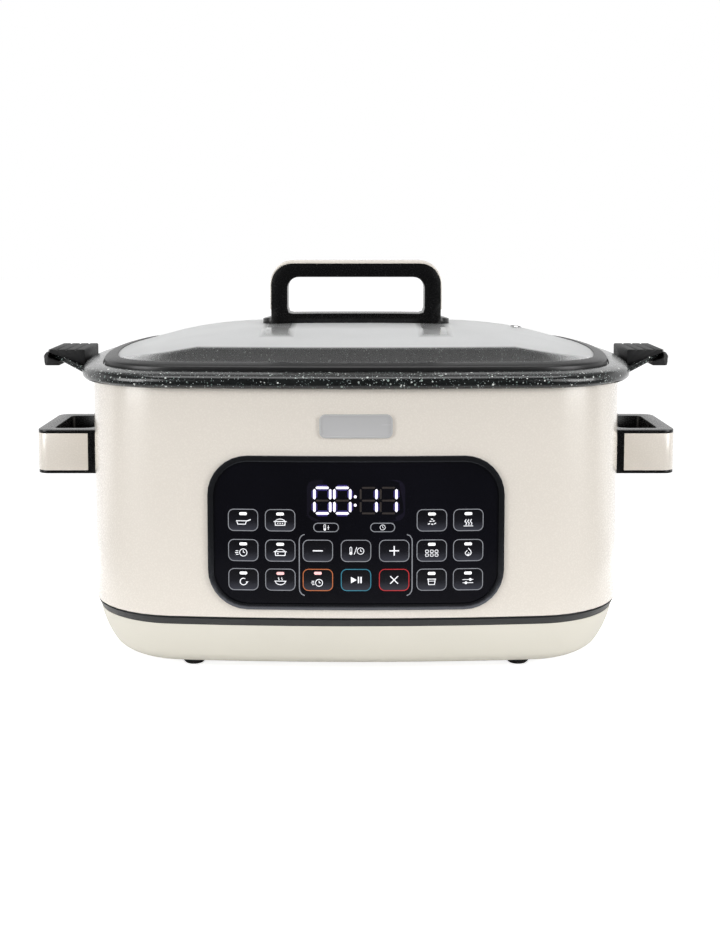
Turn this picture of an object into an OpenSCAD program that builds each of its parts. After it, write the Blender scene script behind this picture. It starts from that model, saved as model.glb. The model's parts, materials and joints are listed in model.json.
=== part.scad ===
// Countertop slow cooker: painted steel housing on a moulded base, touch control panel,
// lift-out cast cooking pot with silicone grips, and a domed glass lid.
// Millimetres, +Z up, front towards -Y, origin on the table under the middle of the cooker.

/* [Housing] */
// Width of the steel housing, without handles
body_w = 390; // [360:1:440]
// Depth of the steel housing
body_d = 280; // [262:1:320]
// Room in the housing under the pot, above the base moulding
under_h = 53.6; // [53:0.2:80]
// Wall of the steel housing
shell_t = 1.2; // [0.8:0.1:1.6]
// Radius of the housing's upright corners
corner_r = 68; // [58:1:72]
// How far the front and back bow out
front_bow = 5.5; // [4:0.5:8]
// How far the two sides bow out
side_bow = 7; // [5:0.5:10]

/* [Base] */
// Height of the base moulding
base_h = 34.4; // [30:0.2:45]
// Height of the dark trim band
band_h = 6.6; // [5:0.2:9]
// Wall of the base moulding
base_t = 2.6; // [2:0.1:4]
// Clearance under the base
foot_h = 6.4; // [4:0.2:10]
// Radius of a foot
foot_r = 8; // [6:0.5:12]

/* [Cooking pot] */
// Depth of the pot, rim seat to floor
pot_depth = 107; // [90:1:112]
// Wall of the pot
pot_t = 3.2; // [2.5:0.1:4]
// Thickness of the pot floor
pot_floor_t = 5; // [4:0.5:7]
// How far the pot rim stands out past the housing
rim_out = 5; // [4:0.5:8]
// Width of a pot grip
grip_w = 52; // [44:1:64]

/* [Lid] */
// Rise of the glass dome
dome_h = 11; // [8:0.2:16]
// Thickness of the glass
glass_t = 3; // [2.5:0.1:4]
// Length of the lid handle, outside its posts
handle_w = 129; // [110:1:150]
// Height of the lid handle above its foot bar
handle_h = 38; // [32:1:50]
// Thickness of the handle's bars
handle_bar = 10.2; // [8:0.2:13]
// Depth of the handle, front to back
handle_d = 24; // [20:1:30]

/* [Side handles] */
// How far a side handle stands out
side_out = 43; // [38:1:55]
// Length of a side handle, front to back
side_len = 84; // [76:1:100]
// Height of a side handle
side_h = 32.4; // [26:0.2:40]
// Thickness of a side handle's bars
side_bar = 11; // [9:0.5:14]

/* [Control panel] */
// Width of the panel frame
panel_w = 200; // [180:1:210]
// Height of the panel frame
panel_h = 105; // [95:1:112]
// Corner radius of the panel frame
panel_r = 27; // [20:1:32]
// Visible width of the panel frame
bezel_w = 4; // [3:0.5:6]

/* [Hidden] */

fit = 0.3;              // clearance between parts that move or slip together
seat = 0.1;             // clearance between parts that are clamped together
$fn = 48;

// ---- heights ----
base_z = foot_h;
band_z = base_z + base_h;
shell_z = band_z + band_h;
rim_rise = 9;                       // height of the pot's rim, lid seat over its lowest edge
shell_h = under_h + pot_floor_t + pot_depth + 1 - rim_rise;
shell_top = shell_z + shell_h;
collar_top = shell_top + 4;
rim_z = shell_top - 1;              // lowest edge of the pot's rim
seat_z = rim_z + rim_rise;          // seat for the lid
pot_floor_z = seat_z - pot_depth;
pot_base_z = pot_floor_z - pot_floor_t;
plate_t = 11;
plate_z = pot_base_z - plate_t;
liner_t = 1.2;
liner_z = plate_z - 14;

// ---- plan outline: four corner arcs joined by shallow arcs ----
corner_x = body_w / 2 - corner_r - side_bow;
corner_y = body_d / 2 - corner_r - front_bow;
side_c = (pow(corner_x + side_bow, 2) - pow(corner_y, 2) - pow(corner_x, 2)) / (-2 * side_bow);
front_c = (pow(corner_y + front_bow, 2) - pow(corner_x, 2) - pow(corner_y, 2)) / (-2 * front_bow);
side_r = body_w / 2 + side_c;
front_r = body_d / 2 + front_c;
side_a = atan2(corner_y, corner_x + side_c);
front_a = atan2(corner_y + front_c, corner_x);
side_n = 4;
corner_n = 8;
front_n = 4;

function arc(c, r, a0, a1, n) = [for (i = [0 : n - 1]) let (a = a0 + (a1 - a0) * i / n)
    [c[0] + r * cos(a), c[1] + r * sin(a)]];
function quarter(off) = concat(
    arc([-side_c, 0], side_r + off, 0, side_a, side_n),
    arc([corner_x, corner_y], corner_r + off, side_a, front_a, corner_n),
    arc([0, -front_c], front_r + off, front_a, 90, front_n));
function back_to_front(q) = [for (i = [len(q) - 1 : -1 : 1]) [-q[i][0], q[i][1]]];
function half(off) = let (q = quarter(off)) concat(q, [[0, front_r + off - front_c]], back_to_front(q));
function outline(off) = let (h = half(off)) concat(h,
    [for (p = h) [-p[0], -p[1]]]);
function level(off, z, k = 1) = [for (p = outline(off)) [p[0] * k, p[1] * k, z]];

// depth of the front face at a given x, for an outline offset
function front_y(x, off = 0) = front_c - sqrt(pow(front_r + off, 2) - x * x);

// A solid whose surface runs through rings [offset, z, scale], closed by its first and last ring.
module loft(rings) {
    pts = [for (r = rings) each level(r[0], r[1], len(r) > 2 ? r[2] : 1)];
    n = len(outline(0));
    m = len(rings);
    faces = concat(
        [[for (j = [0 : n - 1]) j]],
        [[for (j = [n - 1 : -1 : 0]) (m - 1) * n + j]],
        [for (i = [0 : m - 2], j = [0 : n - 1]) let (k = (j + 1) % n)
            [i * n + j, (i + 1) * n + j, (i + 1) * n + k, i * n + k]]);
    polyhedron(pts, faces, convexity = 6);
}

// A closed ring round the outline, with the section [offset, z] given outside first, going up.
module loft_ring(section) {
    pts = [for (r = section) each level(r[0], r[1])];
    n = len(outline(0));
    m = len(section);
    faces = [for (i = [0 : m - 1], j = [0 : n - 1])
        let (k = (j + 1) % n, h = (i + 1) % m)
        [i * n + j, h * n + j, h * n + k, i * n + k]];
    polyhedron(pts, faces, convexity = 6);
}

module band_of(outer, inner, z0, z1) {
    translate([0, 0, z0]) linear_extrude(z1 - z0) difference() {
        polygon(outline(outer));
        polygon(outline(inner));
    }
}

// Rounded rectangle as points, in the plane of a face.
function rounded(w, h, r, n = 8) = concat(
    arc([w / 2 - r, h / 2 - r], r, 0, 90, n), [[w / 2 - r, h / 2]],
    arc([r - w / 2, h / 2 - r], r, 90, 180, n), [[-w / 2, h / 2 - r]],
    arc([r - w / 2, r - h / 2], r, 180, 270, n), [[r - w / 2, -h / 2]],
    arc([w / 2 - r, r - h / 2], r, 270, 360, n), [[w / 2, r - h / 2]]);

// A rounded block that runs back from the front face, for openings and for parts on the front.
module front_prism(x, z, w, h, r, depth = 40) {
    translate([x, -body_d / 2 - 10 + depth, z]) rotate([90, 0, 0])
        linear_extrude(depth) polygon(rounded(w, h, r));
}

// Part of the band between two offsets that lies inside a rounded block on the front.
module on_front(outer, inner, x, z, w, h, r) {
    intersection() {
        band_of(outer, inner, z - h / 2 - 1, z + h / 2 + 1);
        front_prism(x, z, w, h, r);
    }
}

// A pan-head screw standing on its shank's end, head up.
module screw(r, len, head_r, head_t) {
    cylinder(r = r, h = len);
    translate([0, 0, len]) cylinder(r1 = head_r, r2 = head_r * 0.7, h = head_t);
}

function unit(v) = v / norm(v);
function ahead(p, i) = unit(p[min(i + 1, len(p) - 1)] - p[max(i - 1, 0)]);
// A round lead through a list of points.
module lead(p, r, sides = 8) {
    up = [0.31, 0.17, 0.93];
    pts = [for (i = [0 : len(p) - 1]) let (t = ahead(p, i), u = unit(cross(t, up)), w = cross(t, u))
        each [for (j = [0 : sides - 1]) p[i] + r * (cos(360 * j / sides) * u + sin(360 * j / sides) * w)]];
    faces = concat([[for (j = [0 : sides - 1]) j]],
        [[for (j = [sides - 1 : -1 : 0]) (len(p) - 1) * sides + j]],
        [for (i = [0 : len(p) - 2], j = [0 : sides - 1]) let (k = (j + 1) % sides)
            [i * sides + j, (i + 1) * sides + j, (i + 1) * sides + k, i * sides + k]]);
    polyhedron(pts, faces, convexity = 4);
}

// ================= housing =================
panel_z = shell_z + 6.1 + panel_h / 2;
open_w = panel_w - bezel_w;
open_h = panel_h - bezel_w;
open_r = panel_r - bezel_w / 2;
side_z = shell_z + 96.4;            // middle height of the side handles
inlet_z = shell_z + 15;
inlet_w = 27;
inlet_h = 20;
side_screw_y = side_len / 2 - side_bar / 2;
side_screw_z = side_h / 2 - 8;
screw_r = 2;
side_screw_head = 3.4;
// Just inside the housing wall, at the far edge of a screw's head.
side_screw_x = sqrt(pow(side_r - shell_t, 2) - pow(side_screw_y + side_screw_head, 2)) - side_c - seat;

module side_screw_places() {
    for (s = [-1, 1], y = [-1, 1], z = [-1, 1])
        translate([s * side_screw_x, y * side_screw_y, side_z + z * side_screw_z])
            rotate([0, s * 90, 0]) children();
}

rear_w = 120;
lap = 8;

// A block over part of the back wall, from x0 to x1.
module rear_block(x0, x1, z0, z1) {
    translate([x0, 0, z0]) cube([x1 - x0, body_d, z1 - z0]);
}

// Steel wall wrapped round the front and sides, open where the rear panel closes it.
module outer_shell() {
    color([0.93, 0.91, 0.87]) difference() {
        band_of(0, -shell_t, shell_z, shell_top);
        front_prism(0, panel_z, open_w, open_h, open_r);
        side_screw_places() cylinder(r = screw_r + seat, h = 12);
        rear_block(-rear_w / 2, rear_w / 2, shell_z - 1, shell_top + 1);
    }
}

// Back wall, with a strip welded on behind each of its seams.
module rear_panel() {
    edge = rear_w / 2 - seat;
    z0 = shell_z + shell_t + 1;
    z1 = shell_top - 10;
    color([0.93, 0.91, 0.87]) difference() {
        union() {
            intersection() {
                band_of(0, -shell_t, shell_z, shell_top);
                rear_block(-edge, edge, shell_z, shell_top);
            }
            for (s = [0, 1]) mirror([s, 0, 0]) {
                intersection() {
                    band_of(-shell_t - seat, -2 * shell_t - seat, z0, z1);
                    rear_block(edge - lap, edge + lap, z0, z1);
                }
                intersection() {
                    band_of(-shell_t / 2, -1.5 * shell_t - seat, z0, z1);
                    rear_block(edge - lap, edge - 2, z0, z1);
                }
            }
        }
        translate([0, body_d / 2, inlet_z]) cube([inlet_w + 1, 12, inlet_h + 1], center = true);
        inlet_screw_places() cylinder(r = 1.5 + seat, h = 12, center = true);
    }
}

// Flat ring under the wall, which the base screws thread into.
module shell_ring() {
    color("silver") difference() {
        band_of(-shell_t - seat, -34, shell_z, shell_z + shell_t);
        for (p = base_screw_places) translate([p[0], p[1], shell_z - 1]) cylinder(r = screw_r - 0.22, h = 6);
    }
}

// Base screws: the middle pair behind the front and back, the others out along the corners' diagonals.
boss_off = 28.6;
boss_arm = (corner_r - boss_off) / norm([20, 34]);
base_screw_places = [for (sx = [-1, 0, 1], sy = [-1, 1])
    [sx * (corner_x + 20 * boss_arm), sy * (sx == 0 ? body_d / 2 - 27 : corner_y + 34 * boss_arm)]];

module trim_band() {
    z = band_z;
    color([0.07, 0.07, 0.07]) loft_ring([[-9.5, z], [-3.2, z], [-0.8, z + band_h - 1.6],
        [-2.4, z + band_h - 1.6], [-2.4, z + band_h], [-14, z + band_h], [-14, z + band_h - 2.5],
        [-9.5, z + band_h - 2.5]]);
}

// Outside of the base moulding: [offset, height above its underside as a share of its height].
base_curve = [[-40, 0], [-30, 0.02], [-21, 0.105], [-14, 0.25], [-9, 0.484], [-5.5, 0.717],
    [-3.6, 0.9], [-3, 1]];
boss_r = 5.6;
boss_floor = base_z + 20;
foot_x = body_w * 0.297;
foot_y = body_d * 0.314;
foot_places = [for (sx = [-1, 1], sy = [-1, 1]) [sx * foot_x, sy * foot_y]];
stem_r = 3.5;

module base_shell() {
    color([0.93, 0.91, 0.87]) difference() {
        union() {
            loft(concat(
                [for (p = base_curve) [p[0], base_z + p[1] * base_h]],
                [for (i = [len(base_curve) - 1 : -1 : 0]) let (p = base_curve[i])
                    [p[0] - base_t - 1.2, base_z + base_t + p[1] * (base_h - base_t)]]));
            for (p = base_screw_places) translate([p[0], p[1], base_z + base_t])
                cylinder(r = boss_r, h = shell_z - seat - base_z - base_t);
            for (p = foot_places) translate([p[0], p[1], base_z + base_t - 0.5]) cylinder(r = 6, h = 4);
        }
        for (p = base_screw_places) {
            translate([p[0], p[1], 0]) cylinder(r = screw_r + 0.2, h = 60);
            translate([p[0], p[1], 0]) cylinder(r = 3.7, h = boss_floor);
        }
        for (p = foot_places) translate([p[0], p[1], 0]) cylinder(r = stem_r + 0.05, h = base_z + base_t + 6);
        for (i = [-5 : 5], s = [-1, 1])
            translate([i * 13, s * 38, base_z]) cube([4, 44, 12], center = true);
    }
}

module foot(i) {
    p = foot_places[i];
    color([0.06, 0.06, 0.06]) translate([p[0], p[1], 0]) {
        cylinder(r1 = foot_r - 1.5, r2 = foot_r, h = 1.5);
        translate([0, 0, 1.5]) cylinder(r = foot_r, h = base_z - 1.5);
        cylinder(r = stem_r, h = base_z + base_t + 3);
    }
}

module base_screws() {
    color("silver") for (p = base_screw_places)
        translate([p[0], p[1], shell_z + shell_t + 1.5]) mirror([0, 0, 1])
            screw(screw_r - 0.3, shell_z + shell_t + 1.5 - boss_floor, 3.5, 2.2);
}

module top_collar() {
    t = shell_top;
    color([0.06, 0.06, 0.06]) difference() {
        loft_ring([[-1.5, t - 9], [-1.5, t], [0, t], [0, t + 1.6], [-1.6, t + 3.6], [-5, collar_top],
            [-13.4, collar_top], [-13.4, t - 1.5], [-4, t - 1.5], [-4, t - 9]]);
        liner_screw_places() cylinder(r = 1.4, h = 9.4, center = true);
    }
}

// ================= heating well =================
liner_off = -14;
liner_top = shell_top - 1.5;
liner_flange = 9;

module liner_screw_places() {
    for (s = [-1, 1], y = [-1, 1])
        translate([s * (corner_x - 60), y * (body_d / 2 + liner_off + 5), liner_top]) children();
}

module inner_liner() {
    z = liner_z;
    o = liner_off;
    color([0.72, 0.73, 0.74]) difference() {
        loft(concat(
            [[o - 12, z], [o - 6, z + 1.2], [o - 3.2, z + 5], [o - 1.8, z + 12],
                [o - 0.2, liner_top - liner_t], [o + liner_flange, liner_top - liner_t],
                [o + liner_flange, liner_top], [o - 0.2 - liner_t, liner_top]],
            [[o - 1.8 - liner_t, z + 12], [o - 3.2 - liner_t, z + 5.5], [o - 6.4, z + 1.2 + liner_t],
                [o - 12.4, z + liner_t]]));
        translate([0, 0, z - 1]) cylinder(r = guide_r + 1, h = 6);
        terminal_places() cylinder(r = 6, h = 8, center = true);
        liner_screw_places() cylinder(r = 1.7, h = 8, center = true);
        post_places() cylinder(r = 1.7, h = 40, center = true);
    }
}

module liner_screws() {
    color("silver") liner_screw_places() translate([0, 0, 4.5]) mirror([0, 0, 1])
        screw(1.3, 4.5 + liner_t, 2.6, 1.4);
}

plate_off = -50;
tube_r = 4;
loop_x = body_w / 2 - 133;
loop_y = body_d / 2 - 92;
terminal_x = 15;
post_x = body_w / 2 - 91;
post_y = body_d / 2 - 84;
sensor_r = 12.5;
guide_r = 5.4;
sensor_stem_r = 3;

module terminal_places() {
    for (s = [-1, 1]) translate([s * terminal_x, loop_y, liner_z]) children();
}
module post_places() {
    for (sx = [-1, 1], sy = [-1, 1]) translate([sx * post_x, sy * post_y, plate_z]) children();
}

module heating_plate() {
    color([0.62, 0.62, 0.63]) difference() {
        union() {
            translate([0, 0, plate_z + 5]) linear_extrude(plate_t - 5) polygon(outline(plate_off));
            translate([0, 0, plate_z]) linear_extrude(6) difference() {
                polygon(rounded(2 * (loop_x + loop_y + 9), 2 * (loop_y + 9), loop_y + 8.9, 12));
                polygon(rounded(2 * (loop_x + loop_y - 9), 2 * (loop_y - 9), loop_y - 9.1, 12));
            }
            post_places() cylinder(r = 6, h = 6);
        }
        translate([0, 0, plate_z - 1]) cylinder(r = sensor_r + 1.5, h = plate_t + 2);
        element_path(tube_r + 0.15);
        terminal_places() translate([0, 0, plate_z - liner_z]) sphere(r = tube_r + 0.15);
        post_places() translate([0, 0, -1]) cylinder(r = 1.5, h = 7);
    }
}

// The tubular element's oval run, open at the back between its two terminals.
module element_path(r) {
    z = plate_z;
    translate([-loop_x, -loop_y, z]) rotate([0, 90, 0]) cylinder(r = r, h = 2 * loop_x);
    for (s = [-1, 1]) {
        translate([s * loop_x, 0, z]) rotate([0, 0, s > 0 ? -90 : 90])
            rotate_extrude(angle = 180) translate([loop_y, 0]) circle(r = r);
        translate([s > 0 ? terminal_x : -loop_x, loop_y, z]) rotate([0, 90, 0])
            cylinder(r = r, h = loop_x - terminal_x);
    }
}

module heating_element() {
    color([0.35, 0.35, 0.37]) {
        element_path(tube_r);
        terminal_places() {
            translate([0, 0, plate_z - liner_z]) sphere(r = tube_r);
            translate([0, 0, -12]) cylinder(r = tube_r, h = plate_z - liner_z + 12);
            translate([0, 0, -20]) cylinder(r = 1.6, h = 9);
        }
    }
}

module heater_posts() {
    color([0.8, 0.8, 0.8]) post_places() {
        translate([0, 0, liner_z + liner_t - plate_z]) cylinder(r = 4.5, h = plate_z - liner_z - liner_t);
        translate([0, 0, liner_z - plate_z - 1.6]) cylinder(r = 3.4, h = 1.6);
        translate([0, 0, liner_z - plate_z - 0.1]) cylinder(r = 1.5, h = plate_z - liner_z + 5);
    }
}

// Lies under the plate between the sensor and the element's left bend, held by a strap.
module thermal_fuse() {
    x = -(sensor_r + loop_x + loop_y - 7.5) / 2;
    color([0.85, 0.84, 0.8]) translate([x, 0, plate_z + 1.4]) rotate([0, 90, 0]) {
        cylinder(r = 3.4, h = 24, center = true);
        cylinder(r = 0.8, h = 44, center = true);
    }
    color("silver") translate([x, 0, plate_z + 4.2]) cube([6, 12, 1.5], center = true);
}

module sensor_guide() {
    z = liner_z + liner_t;
    color([0.5, 0.5, 0.52]) difference() {
        union() {
            translate([0, 0, z]) cylinder(r = 15, h = 1.6);
            translate([0, 0, z - 10]) cylinder(r = guide_r, h = 11);
        }
        translate([0, 0, z - 11]) cylinder(r = sensor_stem_r + 0.06, h = 20);
    }
}

module temperature_sensor() {
    color([0.78, 0.78, 0.8]) {
        difference() {
            translate([0, 0, pot_base_z - 9]) cylinder(r = sensor_r, h = 9);
            translate([0, 0, pot_base_z - 10]) cylinder(r = sensor_r - 1.2, h = 8);
        }
        translate([0, 0, liner_z - 16]) cylinder(r = sensor_stem_r, h = pot_base_z - 2 - liner_z + 16);
    }
}

spring_z = liner_z + liner_t + 1.6;
spring_h = pot_base_z - 2 - spring_z;
module sensor_spring() {
    turns = 6;
    wire = 0.6;
    steps = 14;
    coil_r = 5;
    n = turns * steps;
    low = spring_z + wire + 0.05;
    rise = spring_h - 2 * wire - 0.1;
    color("silver") lead([for (i = [0 : n]) let (a = 360 * i / steps)
        [coil_r * cos(a), coil_r * sin(a), low + rise * i / n]], wire, 6);
}

module sensor_clip() {
    color("silver") translate([0, 0, liner_z + liner_t - 11.3]) difference() {
        cylinder(r = 6, h = 1.2);
        translate([0, 0, -1]) cylinder(r = sensor_stem_r + 0.05, h = 4);
        translate([0, -5, 0]) cube([3, 8, 4], center = true);
    }
}

// ================= control panel =================
bezel_out = 1.8;
tray_off = -12.4;
window_w = panel_w - 2 * bezel_w;
window_h = panel_h - 2 * bezel_w;
window_r = panel_r - bezel_w;
display_z = panel_z + 0.2474 * window_h;
tray_screw_x = window_w / 2 - window_r + (window_r - 0.5) * cos(45);
tray_screw_z = window_h / 2 - window_r + (window_r - 0.5) * sin(45);

module control_bezel() {
    color([0.22, 0.22, 0.24]) difference() {
        union() {
            on_front(bezel_out, 0, 0, panel_z, panel_w, panel_h, panel_r);
            on_front(0.01, -4, 0, panel_z, open_w - 2 * seat, open_h - 2 * seat, open_r);
        }
        on_front(bezel_out + 1, -1.6, 0, panel_z, window_w, window_h, window_r);
        front_prism(0, panel_z, window_w - 10, window_h - 10, window_r - 5);
        tray_screw_places() translate([0, 0, -2]) cylinder(r = 1.4, h = 3.7);
    }
}

module control_window() {
    color([0.03, 0.03, 0.05, 0.9])
        on_front(0.7, -1.5, 0, panel_z, window_w - 2 * seat, window_h - 2 * seat, window_r);
}

module tray_screw_places() {
    for (s = [-1, 1], u = [-1, 1])
        translate([s * tray_screw_x, front_y(tray_screw_x, -4), panel_z + u * tray_screw_z])
            rotate([90, 0, 0]) children();
}

module control_tray() {
    color([0.08, 0.08, 0.08]) difference() {
        on_front(-4, tray_off, 0, panel_z, open_w + 6, open_h + 6, open_r + 3);
        on_front(-3.9, tray_off + 1.6, 0, panel_z, window_w - 6, window_h - 6, window_r - 3);
        front_prism(ribbon_x, ribbon_z, 18, 6, 2.9);
        tray_screw_places() translate([0, 0, -12]) cylinder(r = 1.6, h = 14);
    }
}

module control_board() {
    color([0.05, 0.28, 0.15]) on_front(-6.4, -8, 0, panel_z, window_w - 7, window_h - 7, window_r - 3.5);
    color([0.08, 0.08, 0.08]) for (s = [-1, 1], u = [-1, 1])
        on_front(-8, tray_off + 1.6, s * 70, panel_z + u * 28, 8, 8, 2);
}

module display_module() {
    color([0.1, 0.1, 0.12]) on_front(-1.6, -6.4, 0, display_z, 66, 24, 1);
}

// Key columns and rows, measured from the middle of the panel.
key_x = [for (k = [-0.4, -0.2724, -0.1339, 0, 0.1339, 0.2724, 0.4]) k * window_w];
key_row = [for (k = [0.0897, -0.1237, -0.3299]) k * window_h];
function has_key(c, r) = !(r == 0 && c > 1 && c < 5);

module key_lamps() {
    color([0.95, 0.95, 0.9]) for (c = [0 : 6], r = [0 : 2]) if (has_key(c, r))
        on_front(-1.6, -6.4, key_x[c], panel_z + key_row[r] + 4.6, 5, 2.4, 0.6);
}

module tray_screws() {
    color("silver") tray_screw_places() translate([0, 0, 1.6]) mirror([0, 0, 1])
        screw(1.3, 1.6 - tray_off - 4 + 0.5, 2.6, 1.4);
}

module front_badge() {
    panel_top = panel_z + panel_h / 2;
    z = panel_top + (shell_top - panel_top) * 0.432;
    color([0.75, 0.75, 0.76]) difference() {
        on_front(1.5, 0, 0, z, 49, 16, 4.2);
        on_front(3, 1, 0, z, 46.6, 13.6, 3);
    }
}

// ================= side handles =================
cover_t = 1.4;
cover_h = side_h - 4.4;
corner_side_r = 9;
side_x = body_w / 2 + side_out;

// Outline of a side handle seen from above, on the +x side, grown by g.
function loop_out(g) = let (x1 = side_x + g, y1 = side_len / 2 + g, r = corner_side_r + g) concat(
    [[body_w / 2 - 12, -y1]], arc([x1 - r, -y1 + r], r, -90, 0, 8), [[x1, -y1 + r]],
    arc([x1 - r, y1 - r], r, 0, 90, 8), [[x1 - r, y1]], [[body_w / 2 - 12, y1]]);

module loop_plan(g) {
    difference() {
        polygon(loop_out(g));
        polygon(outline(fit / 2));
    }
}

module side_handle_right() {
    x0 = body_w / 2;
    inner_x = side_x - side_bar;
    inner_y = side_len / 2 - side_bar;
    color([0.07, 0.07, 0.07]) difference() {
        translate([0, 0, side_z - side_h / 2]) linear_extrude(side_h) difference() {
            loop_plan(0);
            // finger gap, narrowing where the arms flare into the housing
            polygon(concat(
                [[x0 - 12, 7 - inner_y], [x0 + 1.5, 7 - inner_y], [x0 + 5, 2 - inner_y], [x0 + 10, -inner_y]],
                arc([inner_x - 4, 4 - inner_y], 4, -90, 0, 4), [[inner_x, 4 - inner_y]],
                arc([inner_x - 4, inner_y - 4], 4, 0, 90, 4),
                [[x0 + 10, inner_y], [x0 + 5, inner_y - 2], [x0 + 1.5, inner_y - 7], [x0 - 12, inner_y - 7]]));
        }
        // rebate for the painted cover
        translate([0, 0, side_z - cover_h / 2]) linear_extrude(cover_h) difference() {
            polygon(loop_out(1));
            polygon(loop_out(-cover_t));
            translate([-400, -200]) square([400 + x0 + 4.6, 400]);
        }
        side_screw_places() cylinder(r = screw_r - 0.2, h = 30);
    }
}

module handle_cover_right() {
    color([0.93, 0.91, 0.87])
        translate([0, 0, side_z - cover_h / 2 + seat]) linear_extrude(cover_h - 2 * seat) difference() {
            polygon(loop_out(0.2));
            polygon(loop_out(-cover_t + seat));
            translate([-400, -200]) square([400 + body_w / 2 + 4.6 + seat, 400]);
        }
}

module side_handle_screws() {
    reach = body_w / 2 + 12 - side_screw_x;
    color("silver") side_screw_places() translate([0, 0, reach]) mirror([0, 0, 1])
        screw(screw_r - 0.3, reach, side_screw_head, 1.5);
}

// ================= power =================
module inlet_screw_places() {
    for (s = [-1, 1]) translate([s * 20, body_d / 2, inlet_z]) rotate([90, 0, 0]) children();
}

pin_x = [-7, 0, 7];
pin_z = [inlet_z - 2, inlet_z + 2, inlet_z - 2];

module power_inlet() {
    y = body_d / 2;
    color([0.06, 0.06, 0.06]) difference() {
        union() {
            translate([0, y + 0.1, inlet_z]) rotate([-90, 0, 0])
                linear_extrude(2.4) polygon(rounded(50, 24, 5));
            translate([-inlet_w / 2, y - 20, inlet_z - inlet_h / 2]) cube([inlet_w, 20.2, inlet_h]);
        }
        translate([-12, y - 17, inlet_z - 8]) cube([24, 30, 16]);
        inlet_screw_places() cylinder(r = 1.6, h = 12, center = true);
        for (i = [0 : 2]) translate([pin_x[i], y - 17, pin_z[i]]) cube([2.2, 12, 4.2], center = true);
    }
}

module inlet_pins() {
    y = body_d / 2;
    color("silver") for (i = [0 : 2]) translate([pin_x[i], y - 15, pin_z[i]])
        cube([2, 26, 4], center = true);
}

module inlet_screws() {
    color("silver") inlet_screw_places() translate([0, 0, 7]) mirror([0, 0, 1]) screw(1.5, 9.6, 2.8, 1.4);
}

board_x = -52;
board_y = body_d / 2 - 88;
board_z = base_z + base_t + 10;
ribbon_x = board_x + 32;
ribbon_z = panel_z - 20;
module power_board() {
    color([0.45, 0.33, 0.16]) translate([board_x, board_y, board_z]) cube([92, 58, 1.6], center = true);
    translate([board_x, board_y, board_z + 0.8]) {
        color([0.9, 0.75, 0.1]) translate([-24, 8, 9]) cube([26, 22, 18], center = true);
        color([0.1, 0.3, 0.6]) translate([10, 14, 8]) cube([19, 16, 16], center = true);
        color([0.15, 0.15, 0.15]) translate([34, -4, 0]) cylinder(r = 7, h = 22);
        color([0.15, 0.15, 0.15]) translate([14, -14, 0]) cylinder(r = 5, h = 14);
        color([0.9, 0.9, 0.9]) translate([-10, -20, 4]) cube([30, 8, 8], center = true);
        color([0.9, 0.9, 0.9]) translate([33, 18, 4]) cube([22, 9, 8], center = true);
        color([0.9, 0.9, 0.9]) translate([32, -21, 4]) cube([14, 8, 8], center = true);
    }
}

module board_posts() {
    z = base_z + base_t;
    color([0.9, 0.88, 0.84]) for (sx = [-1, 1], sy = [-1, 1])
        translate([board_x + sx * 42, board_y + sy * 25, z]) cylinder(r = 3, h = board_z - 0.8 - z);
}

// From the back of the control board, out through the tray and down to the power board.
module ribbon_cable() {
    w = 12;
    t = 0.9;
    y0 = front_y(ribbon_x - w / 2, -8) + seat;
    y1 = front_y(ribbon_x, tray_off) + 1.4;
    z1 = ribbon_z;
    y2 = board_y - 21.5;
    path = [[y0, z1 + 0.5], [y1 - 1, z1 + 0.5], [y1 + 0.3, z1 - 0.8], [y1 + 0.9, z1 - 6],
        [y1 + 0.9, liner_z - 8], [y1 + 8, liner_z - 22], [y2 - 20, board_z + 16], [y2 - 2, board_z + 14],
        [y2, board_z + 8.9]];
    color([0.75, 0.75, 0.78]) translate([ribbon_x + w / 2, 0, 0]) rotate([90, 0, -90]) linear_extrude(w)
        polygon(concat([for (p = path) [-p[0], p[1]]],
            [for (i = [len(path) - 1 : -1 : 0]) [-path[i][0] - t, path[i][1] + t]]));
}

module mains_leads() {
    y = body_d / 2 - 28.1;
    colours = [[0.4, 0.2, 0.1], [0.2, 0.5, 0.2], [0.1, 0.2, 0.6]];
    for (i = [0 : 2]) let (x = pin_x[i], z = pin_z[i], end_x = board_x + 28 + 5 * i, end_y = board_y + 18)
        color(colours[i]) lead([[x, y, z], [x, y - 6, z], [x - 4, y - 14, z - 2],
            [end_x, end_y, board_z + 20], [end_x, end_y, board_z + 8.9]], 1.4);
}

module heater_leads() {
    color([0.85, 0.85, 0.82]) for (s = [-1, 1]) let (end_x = board_x - 8 + 7 * s, end_y = board_y - 20)
        lead([[s * terminal_x, loop_y, liner_z - 20.1], [s * terminal_x, loop_y, liner_z - 24],
            [s * 8 - 26, loop_y - 13 - 7 * s, board_z + 24], [end_x, end_y, board_z + 20],
            [end_x, end_y, board_z + 8.9]], 1.5);
}

// ================= cooking pot =================
// Side view of an ear, rising outwards: [distance past the housing, height above the lid seat].
ear_w = grip_w - 1;
ear_x = rim_out + 3;
ear_tip = ear_x + 28;
ear_rise = 0.36;
ear_low = -10.5;
ear_high = -6.6;
ear_end = ear_low + ear_rise * (ear_tip - ear_x);
ear_side = [[rim_out - 0.6, -8.6], [rim_out, ear_low + 1.4], [ear_x, ear_low], [ear_tip, ear_end],
    [ear_tip + 0.6, ear_end + 1.4], [ear_tip - 0.6, ear_high + ear_rise * (ear_tip - 0.6 - ear_x)],
    [ear_x, ear_high], [rim_out - 0.6, -3]];
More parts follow.
